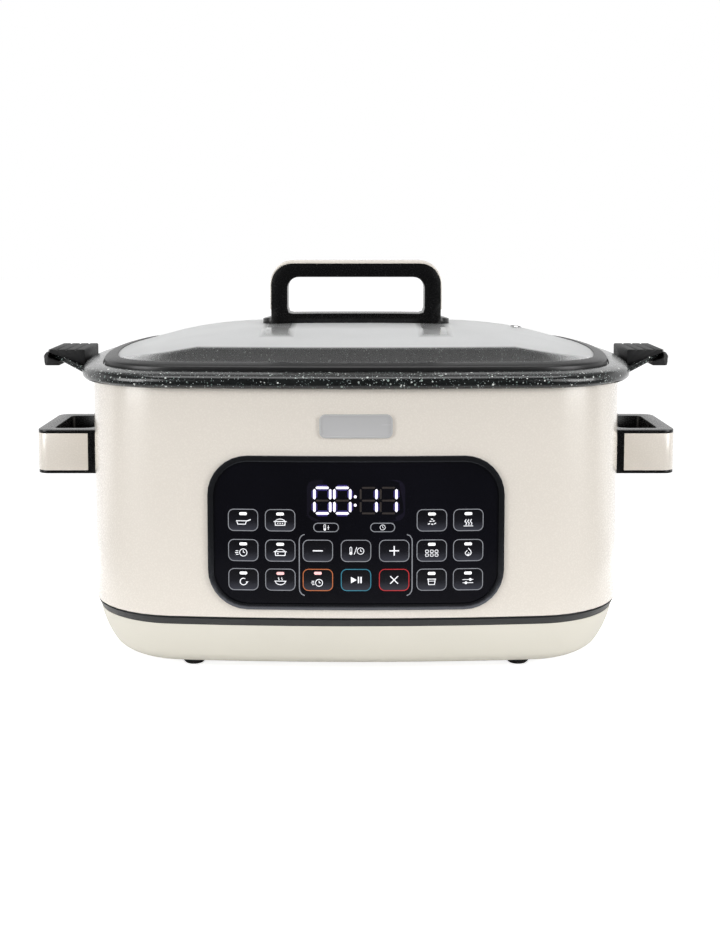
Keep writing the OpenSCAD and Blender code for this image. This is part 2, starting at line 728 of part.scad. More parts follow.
// Plan of an ear: wide where it grows out of the rim.
ear_edge = let (w = ear_w / 2) [[rim_out - 0.6, w + 15], [ear_x - 1, w + 13], [ear_x + 3, w + 5],
    [ear_x + 8, w], [ear_tip - 5, w], [ear_tip, w - 5], [ear_tip + 1, 0]];
ear_plan = concat([for (p = ear_edge) [body_w / 2 + p[0], p[1]]],
    [for (i = [len(ear_edge) - 2 : -1 : 0]) [body_w / 2 + ear_edge[i][0], -ear_edge[i][1]]]);

module cooking_pot() {
    w = -20;
    r = rim_out;
    z = seat_z;
    f = pot_floor_z;
    b = pot_base_z;
    color([0.09, 0.09, 0.1]) union() {
        loft(concat(
            // outside, from the floor up to the rolled rim
            [[w - 26, b], [w - 16, b + 0.3], [w + pot_t - 12.2, b + 2.4], [w + pot_t - 7.8, b + 7.6],
                [w + pot_t - 5.4, b + 13.5], [w + pot_t - 1.2, z - 7], [w + 5, z - 3.6], [-3, z - 3.4],
                [r - 3.6, z - 4.4], [r - 1.8, z - 6.6], [r - 1.6, rim_z], [r, rim_z]],
            // rim and the step the lid sits in
            [[r + 2, rim_z + 1.6], [r + 2.8, rim_z + 4], [r + 2.2, rim_z + 6.6], [r, rim_z + 8.6],
                [-1, rim_z + 10], [-5, rim_z + 10.5], [-6.8, rim_z + 10.2], [-7.6, z]],
            // inside, from the step down to the floor
            [[w + 1.4, z], [w, z - 1.4], [w - 1.4, z - 12], [w - 5, f + 12], [w - 6.4, f + 6.5],
                [w - 10, f + 2.2], [w - 17, f + 0.2], [w - 24, f]]));
        for (s = [0, 1]) mirror([s, 0, 0]) intersection() {
            translate([body_w / 2, body_d / 2, z]) rotate([90, 0, 0])
                linear_extrude(body_d) polygon(ear_side);
            translate([0, 0, z - 20]) linear_extrude(40) polygon(ear_plan);
        }
    }
}

// Side view of a silicone grip: ridged top, peg at its outer end, and the slot that holds the ear.
function ear_over(x) = ear_high + ear_rise * (x - ear_x) + fit;
function ear_under(x) = ear_low + ear_rise * (x - ear_x) - fit;
grip_in = ear_x + 1;
grip_out = ear_tip + 4.6;
grip_top = 5.8;
grip_pitch = 7;
grip_hook = ear_tip - 7.5;
grip_side = concat(
    [[grip_in, ear_over(grip_in)], [grip_in, grip_top - 0.8], [grip_in + 0.8, grip_top]],
    [for (i = [0 : 3], p = [[6, 0], [6.6, -0.8], [7.4, -0.8], [8, 0]])
        if (i < 3 || p[0] < 7) [grip_in + p[0] + i * grip_pitch, grip_top + p[1]]],
    [[ear_tip - 0.6, grip_top - 0.9], [grip_out - 2.4, grip_top - 2.2], [grip_out - 0.5, grip_top - 4.4],
        [grip_out, 0.7], [grip_out + 1.2, 0.5], [grip_out + 1.2, -1.3], [grip_out, -1.5],
        [grip_out - 0.3, -4], [grip_out - 1.6, -6.2], [grip_hook, -6.2], [grip_hook, ear_under(grip_hook)],
        [ear_tip + 0.4, ear_under(ear_tip)], [ear_tip + 1, ear_end + 1.2],
        [ear_tip - 0.2, ear_over(ear_tip - 0.4)]]);
// Plan of a grip from its middle out, with a wider tab at its outer end.
grip_tab = grip_w / 2 - 8;
grip_edge = [[grip_out + 2, grip_tab], [grip_out, grip_tab], [grip_out, grip_w / 2 - 4],
    [grip_out - 1.2, grip_w / 2 - 1.2], [grip_out - 4, grip_w / 2], [0, grip_w / 2]];

module pot_grip_right() {
    color([0.05, 0.05, 0.05]) translate([body_w / 2, 0, seat_z]) intersection() {
        translate([0, grip_w / 2, 0]) rotate([90, 0, 0]) linear_extrude(grip_w) polygon(grip_side);
        translate([0, 0, -20]) linear_extrude(40) polygon(concat(grip_edge,
            [for (i = [len(grip_edge) - 1 : -1 : 0]) [grip_edge[i][0], -grip_edge[i][1]]]));
    }
}

// ================= lid =================
lid_edge = -11.2;
lid_z = seat_z + 1.1;              // underside of the glass at its edge
cone = 0.27;                       // slope of the glass next to its edge
cone_w = 35.8;
dome_off = lid_edge - cone_w;
dome_z = lid_z + glass_t + cone * cone_w;
dome_p = 3.3;
function dome(k) = dome_z + dome_h * (1 - pow(k, dome_p));
dome_k = [1, 0.92, 0.82, 0.7, 0.55, 0.38, 0.2, 0.03];
handle_hole_x = handle_w / 2 - 7.4;
vent_x = body_w / 2 - 69;
vent_y = 24;
boss_hole = 5;
function dome_share(x, y) = pow(pow(x / (body_w / 2 + dome_off), 4) + pow(y / (body_d / 2 + dome_off), 4), 0.25);
function dome_at(x, y) = dome(dome_share(x, y));

module lid_glass() {
    g = glass_t;
    n = len(dome_k);
    color([0.85, 0.9, 0.9, 0.35]) difference() {
        loft(concat([for (i = [n - 1 : -1 : 0]) [dome_off, dome(dome_k[i]) - g, dome_k[i]]],
            [[lid_edge, lid_z], [lid_edge, lid_z + g]], [for (k = dome_k) [dome_off, dome(k), k]]));
        for (s = [-1, 1]) translate([s * handle_hole_x, 0, lid_z]) cylinder(r = boss_hole, h = 60);
        translate([vent_x, vent_y, lid_z]) cylinder(r = 3.2, h = 60);
    }
}

module lid_gasket() {
    z = seat_z;
    e = lid_edge;
    top = lid_z + glass_t;
    color([0.05, 0.05, 0.05]) loft_ring([[-8, z + seat], [-8, z + 3.2], [-9, top + 0.5], [-10, top + 0.9],
        [e - 6, top + 6 * cone + 0.9], [e - 6.4, top + 6.4 * cone + 0.1], [e + seat, top + seat],
        [e + seat, lid_z - seat], [e - 7.4, lid_z + 7.4 * cone - seat], [e - 7.4, lid_z + 3 * cone - seat],
        [e - 4, z + seat]]);
}

bar_h = 7.1;
bar_bottom = dome(0) + seat;
frame_top = bar_bottom + bar_h + handle_h;

washer_r = 6.8;
washer_top = dome_at(handle_hole_x + washer_r, 0) - glass_t - 0.36;

function bar_drop(x) = dome_h * pow(abs(x) / (body_w / 2 + dome_off), dome_p);

module lid_handle() {
    w = handle_w;
    top_r = 16;
    low_r = 4;
    hole_r = 9;
    hole_w = w / 2 - handle_bar * 1.2;
    hole_top = frame_top - handle_bar;
    bar_top = bar_bottom + bar_h;
    n = 14;
    bar_x = w / 2 + 7;
    color([0.06, 0.06, 0.06]) difference() {
        union() {
            // hoop
            translate([0, handle_d / 2, 0]) rotate([90, 0, 0]) linear_extrude(handle_d) difference() {
                polygon(concat([[-w / 2, bar_bottom + 3], [w / 2, bar_bottom + 3]],
                    arc([w / 2 - top_r, frame_top - top_r], top_r, 0, 90, 8), [[w / 2 - top_r, frame_top]],
                    arc([top_r - w / 2, frame_top - top_r], top_r, 90, 180, 8),
                    [[-w / 2, frame_top - top_r]]));
                polygon(concat([for (i = [0 : n]) let (x = (hole_w - low_r) * (2 * i / n - 1))
                    [x, bar_top - bar_drop(x)]],
                    [[hole_w - 1, bar_top + 0.6], [hole_w, bar_top + low_r]],
                    arc([hole_w - hole_r, hole_top - hole_r], hole_r, 0, 90, 8), [[hole_w - hole_r, hole_top]],
                    arc([hole_r - hole_w, hole_top - hole_r], hole_r, 90, 180, 8),
                    [[-hole_w, hole_top - hole_r], [-hole_w, bar_top + low_r], [1 - hole_w, bar_top + 0.6]]));
            }
            // foot bar, bent to the glass, with round ends
            intersection() {
                translate([0, handle_d, 0]) rotate([90, 0, 0]) linear_extrude(2 * handle_d) polygon(concat(
                    [for (i = [0 : n]) let (x = bar_x * (2 * i / n - 1)) [x, bar_bottom - bar_drop(x)]],
                    [for (i = [n : -1 : 0]) let (x = bar_x * (2 * i / n - 1), e = max(0, abs(x) - w / 2 + 1))
                        [x, bar_top - bar_drop(x) - 1.6 - e * e * 0.03]]));
                translate([0, 0, bar_bottom - 10]) linear_extrude(40)
                    polygon(rounded(2 * bar_x, handle_d, handle_d / 2 - 0.01, 10));
            }
            for (s = [-1, 1]) translate([s * handle_hole_x, 0, washer_top + 0.35])
                cylinder(r = boss_hole - fit, h = bar_bottom + 3.85 - washer_top);
        }
        for (s = [-1, 1]) translate([s * handle_hole_x, 0, bar_bottom - 12]) cylinder(r = 2, h = 30);
        cap_volume(0, 1);
    }
}

cap_t = 1.8;
cap_rise = 2.4;
cap_side = 0.8;
cap_d = handle_d - 3;
cap_low = bar_bottom + bar_h + 3;
// One face line of the cap, seen from the front: sideways by dx and up by dz from the hoop's outline.
function cap_line(dx, dz, low) = let (w = handle_w / 2, r = 16, h = frame_top - r) concat(
    [[w + dx, low]], [for (i = [0 : 8]) [w - r + (r + dx) * cos(i * 90 / 8), h + (r + dz) * sin(i * 90 / 8)]],
    [for (i = [8 : -1 : 0]) [r - w - (r + dx) * cos(i * 90 / 8), h + (r + dz) * sin(i * 90 / 8)]],
    [[-w - dx, low]]);
// The painted cap over the top of the hoop and down both posts; g leaves clearance on its inner faces.
module cap_volume(g, grow) {
    translate([0, cap_d / 2 - g, 0]) rotate([90, 0, 0]) linear_extrude(cap_d - 2 * g) difference() {
        polygon(cap_line(cap_side + grow, cap_rise + grow, cap_low + g));
        polygon(cap_line(g - cap_t + cap_side, g - cap_t + 0.8, cap_low - 5));
    }
}

module lid_handle_cap() {
    color([0.93, 0.91, 0.87]) cap_volume(seat, 0);
}

module handle_washers() {
    color([0.05, 0.05, 0.05]) for (s = [-1, 1])
        translate([s * handle_hole_x, 0, washer_top - 3]) difference() {
            cylinder(r = washer_r, h = 3);
            translate([0, 0, -1]) cylinder(r = 2.2, h = 6);
        }
}

module lid_screws() {
    color("silver") for (s = [-1, 1]) translate([s * handle_hole_x, 0, washer_top + 9]) mirror([0, 0, 1])
        screw(1.95, 12.1, 4.4, 1.9);
}

module steam_vent() {
    z = dome_at(vent_x, vent_y);
    color("silver") translate([vent_x, vent_y, z]) rotate([0, 7, 0]) difference() {
        union() {
            translate([0, 0, 0.8]) cylinder(r1 = 4.8, r2 = 3.6, h = 0.9);
            translate([0, 0, -glass_t - 1.6]) cylinder(r = 2.7, h = glass_t + 3);
            translate([0, 0, -glass_t - 1.8]) cylinder(r = 4.4, h = 0.8);
        }
        translate([0, 0, -10]) cylinder(r = 1.9, h = 20);
    }
}

outer_shell();
rear_panel();
shell_ring();
trim_band();
base_shell();
foot(0);  // foot_front_left
foot(2);  // foot_front_right
foot(1);  // foot_rear_left
foot(3);  // foot_rear_right
base_screws();
top_collar();
inner_liner();
liner_screws();
heating_plate();
heating_element();
heater_posts();
thermal_fuse();
sensor_guide();
temperature_sensor();
sensor_spring();
sensor_clip();
control_bezel();
control_window();
control_tray();
control_board();
display_module();
key_lamps();
tray_screws();
front_badge();
mirror([1, 0, 0]) side_handle_right();  // side_handle_left
side_handle_right();
mirror([1, 0, 0]) handle_cover_right();  // handle_cover_left
handle_cover_right();
side_handle_screws();
power_inlet();
inlet_pins();
inlet_screws();
power_board();
board_posts();
ribbon_cable();
mains_leads();
heater_leads();
cooking_pot();
mirror([1, 0, 0]) pot_grip_right();  // pot_grip_left
pot_grip_right();
lid_glass();
lid_gasket();
lid_handle();
lid_handle_cap();
handle_washers();
lid_screws();
steam_vent();
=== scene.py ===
import json
import math

import bmesh
import bpy
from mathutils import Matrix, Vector

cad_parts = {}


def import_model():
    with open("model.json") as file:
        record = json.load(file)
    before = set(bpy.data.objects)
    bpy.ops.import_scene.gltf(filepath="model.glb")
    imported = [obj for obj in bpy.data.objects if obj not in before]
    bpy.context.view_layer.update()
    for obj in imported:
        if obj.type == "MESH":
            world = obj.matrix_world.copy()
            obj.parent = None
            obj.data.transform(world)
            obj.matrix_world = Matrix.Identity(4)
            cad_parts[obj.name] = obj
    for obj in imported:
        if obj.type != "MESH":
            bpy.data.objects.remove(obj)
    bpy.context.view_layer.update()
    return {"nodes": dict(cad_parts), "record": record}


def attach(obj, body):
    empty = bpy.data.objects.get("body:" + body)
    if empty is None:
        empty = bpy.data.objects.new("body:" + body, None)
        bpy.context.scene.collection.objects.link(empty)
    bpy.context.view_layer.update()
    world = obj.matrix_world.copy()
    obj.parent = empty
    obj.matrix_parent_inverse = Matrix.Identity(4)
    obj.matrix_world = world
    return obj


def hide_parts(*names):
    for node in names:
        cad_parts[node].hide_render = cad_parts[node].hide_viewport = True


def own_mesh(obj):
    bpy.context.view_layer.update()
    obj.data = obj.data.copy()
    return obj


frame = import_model()
NODES = frame["nodes"]
scene = bpy.context.scene
MM = 0.001
scene.view_settings.view_transform = "Standard"

# ---------------------------------------------------------------- camera
CAMERA_PLACE = (0.0, -1.00025, 0.3145)
CAMERA_TILT = math.radians(85.0)
CAMERA_LENS = 50.5
CAMERA_SHIFT = (0.0043, -0.1383)

cam_data = bpy.data.cameras.new("camera")
cam = bpy.data.objects.new("camera", cam_data)
scene.collection.objects.link(cam)
scene.camera = cam
cam.location = CAMERA_PLACE
cam.rotation_euler = (CAMERA_TILT, 0.0, 0.0)
cam_data.sensor_fit = "AUTO"
cam_data.sensor_width = 36.0
cam_data.lens = CAMERA_LENS
cam_data.shift_x, cam_data.shift_y = CAMERA_SHIFT
cam_data.clip_start = 0.02
cam_data.clip_end = 20.0
cam_data.dof.use_dof = False

# ---------------------------------------------------------------- sizes as in the CAD, in mm
WIDTH, DEPTH = 390.0, 280.0
CORNER_R, FRONT_BOW, SIDE_BOW = 68.0, 5.5, 7.0
BASE_Z, BASE_H, BAND_H = 6.4, 34.4, 6.6
BAND_Z = BASE_Z + BASE_H
SHELL_Z, SHELL_TOP = 47.4, 205.0
PANEL_Z = SHELL_Z + 58.6
RIM_Z = SHELL_TOP - 1
SEAT_Z = RIM_Z + 9
POT_DEPTH, POT_FLOOR = 107, 5
FLOOR_Z = SEAT_Z - POT_DEPTH
POT_Z = FLOOR_Z - POT_FLOOR
# how far outside the plan outline the pot's wall, its lip and the lid's edge lie
POT_WALL, POT_LIP, LID_EDGE = -20.0, 5.0, -11.2
LID_Z, GLASS = SEAT_Z + 1.1, 3.0
CONE, CONE_WIDTH = 0.27, 35.8
DOME_H, DOME_POWER = 11.0, 3.3
HANDLE_LENGTH, POST_INSET, POST_HOLE_R = 129, 7.4, 5.0
POST_X = HANDLE_LENGTH / 2 - POST_INSET
# x, y and radius of the steam vent's hole and of a foot's
VENT_HOLE = (126, 24, 3.2)
FOOT_HOLE = (115.83, 87.92, 3.4)

# ---------------------------------------------------------------- plan outline: corners joined by wide arcs
CORNER_X = WIDTH / 2 - CORNER_R - SIDE_BOW
CORNER_Y = DEPTH / 2 - CORNER_R - FRONT_BOW
# the wide arcs' centres beyond the middle, their radii, and the angles at which they meet a corner
SIDE_CENTRE = ((CORNER_X + SIDE_BOW) ** 2 - CORNER_Y ** 2 - CORNER_X ** 2) / (-2 * SIDE_BOW)
FRONT_CENTRE = ((CORNER_Y + FRONT_BOW) ** 2 - CORNER_X ** 2 - CORNER_Y ** 2) / (-2 * FRONT_BOW)
SIDE_R = WIDTH / 2 + SIDE_CENTRE
FRONT_R = DEPTH / 2 + FRONT_CENTRE
SIDE_END = math.atan2(CORNER_Y, CORNER_X + SIDE_CENTRE)
FRONT_END = math.atan2(CORNER_Y + FRONT_CENTRE, CORNER_X)
SIDE_POINTS, CORNER_POINTS, FRONT_POINTS = 8, 20, 14


def arc(cx, cy, r, start, end, n):
    """n points from the start angle on, without the one at the end angle."""
    angles = [start + (end - start) * i / n for i in range(n)]
    return [(cx + r * math.cos(a), cy + r * math.sin(a)) for a in angles]


def outline(off):
    """The housing's plan grown by off, anticlockwise from the middle of its right side."""
    quarter = (arc(-SIDE_CENTRE, 0, SIDE_R + off, 0, SIDE_END, SIDE_POINTS)
               + arc(CORNER_X, CORNER_Y, CORNER_R + off, SIDE_END, FRONT_END, CORNER_POINTS)
               + arc(0, -FRONT_CENTRE, FRONT_R + off, FRONT_END, math.pi / 2, FRONT_POINTS))
    middle = [(0.0, FRONT_R + off - FRONT_CENTRE)]
    half = quarter + middle + [(-x, y) for x, y in reversed(quarter[1:])]
    return half + [(-x, -y) for x, y in half]


def front_y(x, off):
    """The y of the bowed front at x, off outside the outline."""
    return FRONT_CENTRE - math.sqrt((FRONT_R + off) ** 2 - x * x)


# ---------------------------------------------------------------- mesh helpers
def new_object(name, verts, faces, smooth=True):
    me = bpy.data.meshes.new(name)
    me.from_pydata([tuple(c * MM for c in v) for v in verts], [], faces)
    me.validate()
    ob = bpy.data.objects.new(name, me)
    scene.collection.objects.link(ob)
    for p in me.polygons:
        p.use_smooth = smooth
    return ob


def recalc(ob):
    bm = bmesh.new()
    bm.from_mesh(ob.data)
    bmesh.ops.recalc_face_normals(bm, faces=bm.faces)
    bm.to_mesh(ob.data)
    bm.free()


def between(before, a, b, after, t):
    """The value at t, 0 to 1, on the smooth curve from a to b, given the values on either side of them."""
    return 0.5 * (2 * a + (b - before) * t + (2 * before - 5 * a + 4 * b - after) * t * t
                  + (3 * a - before - 3 * b + after) * t ** 3)


def curve_through(pts, n):
    """n points a stretch along a smooth curve through pts; a point with a third value of 1 stays a corner."""
    out = []
    for i in range(len(pts) - 1):
        p1, p2 = pts[i], pts[i + 1]
        corner1 = len(p1) > 2 and p1[2]
        corner2 = len(p2) > 2 and p2[2]
        p0 = p1 if i == 0 or corner1 else pts[i - 1]
        p3 = p2 if i == len(pts) - 2 or corner2 else pts[i + 2]
        for k in range(n):
            out.append(tuple(between(*values, k / n) for values in zip(p0[:2], p1[:2], p2[:2], p3[:2])))
    out.append(tuple(pts[-1][:2]))
    return out


def loft(name, rings, close=False, scale=None):
    """A body through outlines, each (offset, z); close joins the last to the first, else both are capped."""
    verts, faces = [], []
    for i, (off, z) in enumerate(rings):
        k = scale[i] if scale else 1.0
        verts += [(x * k, y * k, z) for x, y in outline(off)]
    n = len(outline(0))
    m = len(rings)
    for i in range(m if close else m - 1):
        a, b = i * n, ((i + 1) % m) * n
        for j in range(n):
            k = (j + 1) % n
            faces.append((a + j, b + j, b + k, a + k))
    if not close:
        faces.append(tuple(range(n)))
        faces.append(tuple((m - 1) * n + j for j in reversed(range(n))))
    ob = new_object(name, verts, faces)
    recalc(ob)
    return ob


def smooth_by_angle(ob, degrees):
    """Smooth shading, except over edges sharper than the given angle."""
    bm = bmesh.new()
    bm.from_mesh(ob.data)
    limit = math.radians(degrees)
    for edge in bm.edges:
        edge.smooth = not (len(edge.link_faces) == 2 and edge.calc_face_angle(0) > limit)
    bm.to_mesh(ob.data)
    bm.free()


def bevel(ob, width, degrees):
    """Rounds edges sharper than the given angle; width in mm."""
    m = ob.modifiers.new("bevel", "BEVEL")
    m.width = width * MM
    m.segments = 2
    m.limit_method = "ANGLE"
    m.angle_limit = math.radians(degrees)


def apply(ob):
    """Makes the modifiers' result the object's own mesh."""
    dg = bpy.context.evaluated_depsgraph_get()
    dg.update()
    me = bpy.data.meshes.new_from_object(ob.evaluated_get(dg))
    ob.modifiers.clear()
    old = ob.data
    ob.data = me
    bpy.data.meshes.remove(old)


CUTTER_HEIGHT, CUTTER_MIDDLE = 0.6, 0.2


def drill(ob, holes):
    """Cuts upright round holes right through, each (x, y, radius) in mm."""
    for x, y, r in holes:
        bm = bmesh.new()
        bmesh.ops.create_cone(bm, cap_ends=True, segments=40, radius1=r * MM, radius2=r * MM,
                              depth=CUTTER_HEIGHT)
        bmesh.ops.translate(bm, verts=bm.verts, vec=(x * MM, y * MM, CUTTER_MIDDLE))
        me = bpy.data.meshes.new("hole")
        bm.to_mesh(me)
        bm.free()
        cutter = bpy.data.objects.new("hole", me)
        scene.collection.objects.link(cutter)
        m = ob.modifiers.new("cut", "BOOLEAN")
        m.operation = "DIFFERENCE"
        m.solver = "EXACT"
        m.object = cutter
        apply(ob)
        bpy.data.objects.remove(cutter)


def rounded(w, h, r, n=6):
    """Points round a rectangle with rounded corners, anticlockwise, about its own middle."""
    r = min(r, w / 2 - 0.01, h / 2 - 0.01)
    x, y = w / 2 - r, h / 2 - r
    out = []
    for cx, cy, start in ((x, y, 0), (-x, y, 90), (-x, -y, 180), (x, -y, 270)):
        for i in range(n + 1):
            a = math.radians(start + 90 * i / n)
            out.append((cx + r * math.cos(a), cy + r * math.sin(a)))
    return out


def rounded_at(x, z, w, h, r, n=6):
    return [(x + a, z + b) for a, b in rounded(w, h, r, n)]


# ---------------------------------------------------------------- material helpers
# t is a material's node tree, b its Principled shader and co the object's own coordinates
mats = {}


def material(name):
    """A new material, kept in mats under its name."""
    m = bpy.data.materials.new(name)
    m.use_nodes = True
    mats[name] = m
    t = m.node_tree
    t.nodes.clear()
    out = t.nodes.new("ShaderNodeOutputMaterial")
    b = t.nodes.new("ShaderNodeBsdfPrincipled")
    t.links.new(b.outputs[0], out.inputs[0])
    c = t.nodes.new("ShaderNodeTexCoord")
    return t, b, c.outputs["Object"]


def linear(value):
    """A display value, 0 to 255, as linear light."""
    v = value / 255
    return v / 12.92 if v <= 0.04045 else ((v + 0.055) / 1.055) ** 2.4


def lin(r, g, b):
    return (linear(r), linear(g), linear(b), 1.0)


def noise(t, coord, scale, detail=3.0, rough=0.5, stretch=None):
    if stretch:
        mp = t.nodes.new("ShaderNodeMapping")
        mp.inputs["Scale"].default_value = stretch
        t.links.new(coord, mp.inputs[0])
        coord = mp.outputs[0]
    n = t.nodes.new("ShaderNodeTexNoise")
    n.inputs["Scale"].default_value = scale
    n.inputs["Detail"].default_value = detail
    n.inputs["Roughness"].default_value = rough
    t.links.new(coord, n.inputs["Vector"])
    return n.outputs["Fac"]


def ramp(t, fac, stops):
    """A colour ramp through stops, each (place, colour)."""
    r = t.nodes.new("ShaderNodeValToRGB")
    elements = r.color_ramp.elements
    while len(elements) < len(stops):
        elements.new(0.5)
    for element, (place, colour) in zip(elements, stops):
        element.position = place
        element.color = colour if len(colour) == 4 else (*colour, 1)
    t.links.new(fac, r.inputs[0])
    return r.outputs[0]


def maprange(t, fac, a, b, lo, hi):
    m = t.nodes.new("ShaderNodeMapRange")
    m.inputs["From Min"].default_value = a
    m.inputs["From Max"].default_value = b
    m.inputs["To Min"].default_value = lo
    m.inputs["To Max"].default_value = hi
    t.links.new(fac, m.inputs[0])
    return m.outputs[0]


def feed(t, value, socket):
    """Sets a socket to a plain number, or links another socket to it."""
    if isinstance(value, (int, float)):
        socket.default_value = value
    else:
        t.links.new(value, socket)


def calc(t, operation, *values):
    """The result of a Math node; each value is a socket or a plain number."""
    n = t.nodes.new("ShaderNodeMath")
    n.operation = operation
    for value, socket in zip(values, n.inputs):
        feed(t, value, socket)
    return n.outputs[0]


def axes(t, vector):
    """The x, y and z of a vector."""
    n = t.nodes.new("ShaderNodeSeparateXYZ")
    t.links.new(vector, n.inputs[0])
    return n.outputs[0], n.outputs[1], n.outputs[2]


def mix_shaders(t, share, first, second):
    """Two shaders mixed; share is the second one's part."""
    n = t.nodes.new("ShaderNodeMixShader")
    feed(t, share, n.inputs[0])
    t.links.new(first, n.inputs[1])
    t.links.new(second, n.inputs[2])
    return n.outputs[0]


def to_output(t, shader):
    """Shows shader in place of the plain one."""
    out = next(n for n in t.nodes if n.type == "OUTPUT_MATERIAL")
    t.links.new(shader, out.inputs[0])


def bump(t, b, fac, strength, distance):
    n = t.nodes.new("ShaderNodeBump")
    n.inputs["Strength"].default_value = strength
    n.inputs["Distance"].default_value = distance
    t.links.new(fac, n.inputs["Height"])
    t.links.new(n.outputs[0], b.inputs["Normal"])


# ---------------------------------------------------------------- materials
def surface(name, rgb, spread, rough, rough_spread, grain, height, metallic=0.0, coat=0.0, coat_rough=0.1,
            spec=0.5, stretch=None):
    """A painted, moulded, cast or plated surface: slow colour drift, uneven gloss and fine grain."""
    t, b, co = material(name)
    big = noise(t, co, 12.0, 4.0)
    lo = tuple(max(0.0, c * (1 - spread)) for c in rgb[:3])
    hi = tuple(min(1.0, c * (1 + spread)) for c in rgb[:3])
    t.links.new(ramp(t, big, [(0.3, lo), (0.7, hi)]), b.inputs["Base Color"])
    fine = noise(t, co, grain, 3.0, 0.6, stretch)
    gloss = maprange(t, fine, 0.3, 0.7, rough - rough_spread, rough + rough_spread)
    t.links.new(gloss, b.inputs["Roughness"])
    bump(t, b, fine, 0.35, height * MM)
    b.inputs["Metallic"].default_value = metallic
    b.inputs["Coat Weight"].default_value = coat
    b.inputs["Coat Roughness"].default_value = coat_rough
    b.inputs["Specular IOR Level"].default_value = spec


# cells per metre, a fleck's size in its cell, the share of bare cells, and the flecks' bright and dim colours
FLECKS = ((900.0, 0.30, 0.62, lin(190, 200, 200), lin(90, 104, 102)),
          (430.0, 0.28, 0.66, lin(226, 230, 226), lin(110, 128, 122)),
          (230.0, 0.20, 0.74, lin(240, 242, 238), lin(150, 165, 158)))


def flecks(t, co, under, scale, size, bare, bright, dim):
    """The colour under with one size of round flecks strewn over it."""
    v = t.nodes.new("ShaderNodeTexVoronoi")
    v.inputs["Scale"].default_value = scale
    v.inputs["Randomness"].default_value = 1.0
    t.links.new(co, v.inputs["Vector"])
    chance = t.nodes.new("ShaderNodeSeparateColor")
    t.links.new(v.outputs["Color"], chance.inputs[0])
    near = ramp(t, v.outputs["Distance"], [(size * 0.7, (1, 1, 1)), (size, (0, 0, 0))])
    pick = ramp(t, chance.outputs[0], [(bare - 0.01, (0, 0, 0)), (bare + 0.01, (1, 1, 1))])
    both = calc(t, "MULTIPLY", near, pick)
    hue = ramp(t, chance.outputs[1], [(0.2, dim), (0.8, bright)])
    mix = t.nodes.new("ShaderNodeMix")
    mix.data_type = "RGBA"
    t.links.new(both, mix.inputs["Factor"])
    t.links.new(under, mix.inputs[6])
    t.links.new(hue, mix.inputs[7])
    return mix.outputs[2]


def stone(name, gloss):
    """Dark stone-look non-stick coating: near-black with white and grey-green flecks of several sizes."""
    t, b, co = material(name)
    colour = ramp(t, noise(t, co, 60.0, 5.0, 0.65), [(0.3, lin(11, 13, 13)), (0.7, lin(27, 30, 30))])
    for kind in FLECKS:
        colour = flecks(t, co, colour, *kind)
    t.links.new(colour, b.inputs["Base Color"])
    fine = noise(t, co, 500.0, 3.0)
    t.links.new(maprange(t, fine, 0.3, 0.7, gloss - 0.06, gloss + 0.06), b.inputs["Roughness"])
    bump(t, b, fine, 0.25, 0.05 * MM)
    b.inputs["Specular IOR Level"].default_value = 0.6
    b.inputs["Coat Weight"].default_value = 0.25
    b.inputs["Coat Roughness"].default_value = 0.12


# name, colour, its spread, roughness, its spread, grain per metre, grain height in mm
CREAM = lin(236, 229, 219)
surface("housing_paint", CREAM, 0.008, 0.27, 0.02, 900.0, 0.006, coat=0.9, coat_rough=0.1)
surface("base_plastic", lin(228, 224, 212), 0.015, 0.40, 0.05, 1100.0, 0.03)
surface("black_plastic", lin(8, 8, 9), 0.12, 0.26, 0.05, 1200.0, 0.02, spec=0.4)
surface("foot_rubber", lin(26, 26, 26), 0.15, 0.75, 0.08, 900.0, 0.05, spec=0.3)
surface("plated_steel", lin(190, 190, 188), 0.05, 0.28, 0.08, 600.0, 0.02, metallic=1.0)
surface("liner_steel", lin(176, 178, 180), 0.05, 0.36, 0.1, 400.0, 0.03, metallic=1.0, stretch=(1, 1, 0.08))
surface("heater_casting", lin(158, 158, 160), 0.08, 0.5, 0.1, 500.0, 0.12, metallic=1.0)
surface("heater_sheath", lin(96, 92, 90), 0.15, 0.45, 0.1, 500.0, 0.05, metallic=1.0)
surface("fuse_sleeve", lin(222, 216, 202), 0.06, 0.7, 0.08, 1500.0, 0.1)
surface("sensor_cap", lin(200, 200, 202), 0.04, 0.3, 0.06, 700.0, 0.02, metallic=1.0)
surface("gunmetal_trim", lin(104, 106, 112), 0.05, 0.17, 0.03, 900.0, 0.01, metallic=1.0)
surface("circuit_board", lin(18, 92, 52), 0.15, 0.35, 0.05, 700.0, 0.05)
surface("display_black", lin(20, 20, 24), 0.1, 0.25, 0.04, 700.0, 0.01)
surface("lamp_white", lin(228, 228, 222), 0.03, 0.45, 0.05, 900.0, 0.02)
surface("badge_silver", lin(206, 206, 207), 0.015, 0.26, 0.015, 500.0, 0.001, metallic=0.2,
        stretch=(0.05, 1, 1))
surface("contact_brass", lin(214, 190, 130), 0.05, 0.25, 0.06, 600.0, 0.02, metallic=1.0)
surface("power_laminate", lin(150, 116, 66), 0.12, 0.5, 0.08, 700.0, 0.05)
surface("lead_grey", lin(150, 150, 155), 0.06, 0.45, 0.06, 900.0, 0.03)
surface("lead_white", lin(226, 224, 216), 0.06, 0.65, 0.06, 1500.0, 0.08)
stone("pot_stone_coating", 0.22)
surface("grip_silicone", lin(24, 24, 25), 0.15, 0.52, 0.08, 900.0, 0.05, spec=0.4)
surface("gasket_silicone", lin(19, 19, 20), 0.08, 0.38, 0.06, 900.0, 0.03)
surface("polished_steel", lin(214, 214, 214), 0.03, 0.16, 0.04, 700.0, 0.01, metallic=1.0)
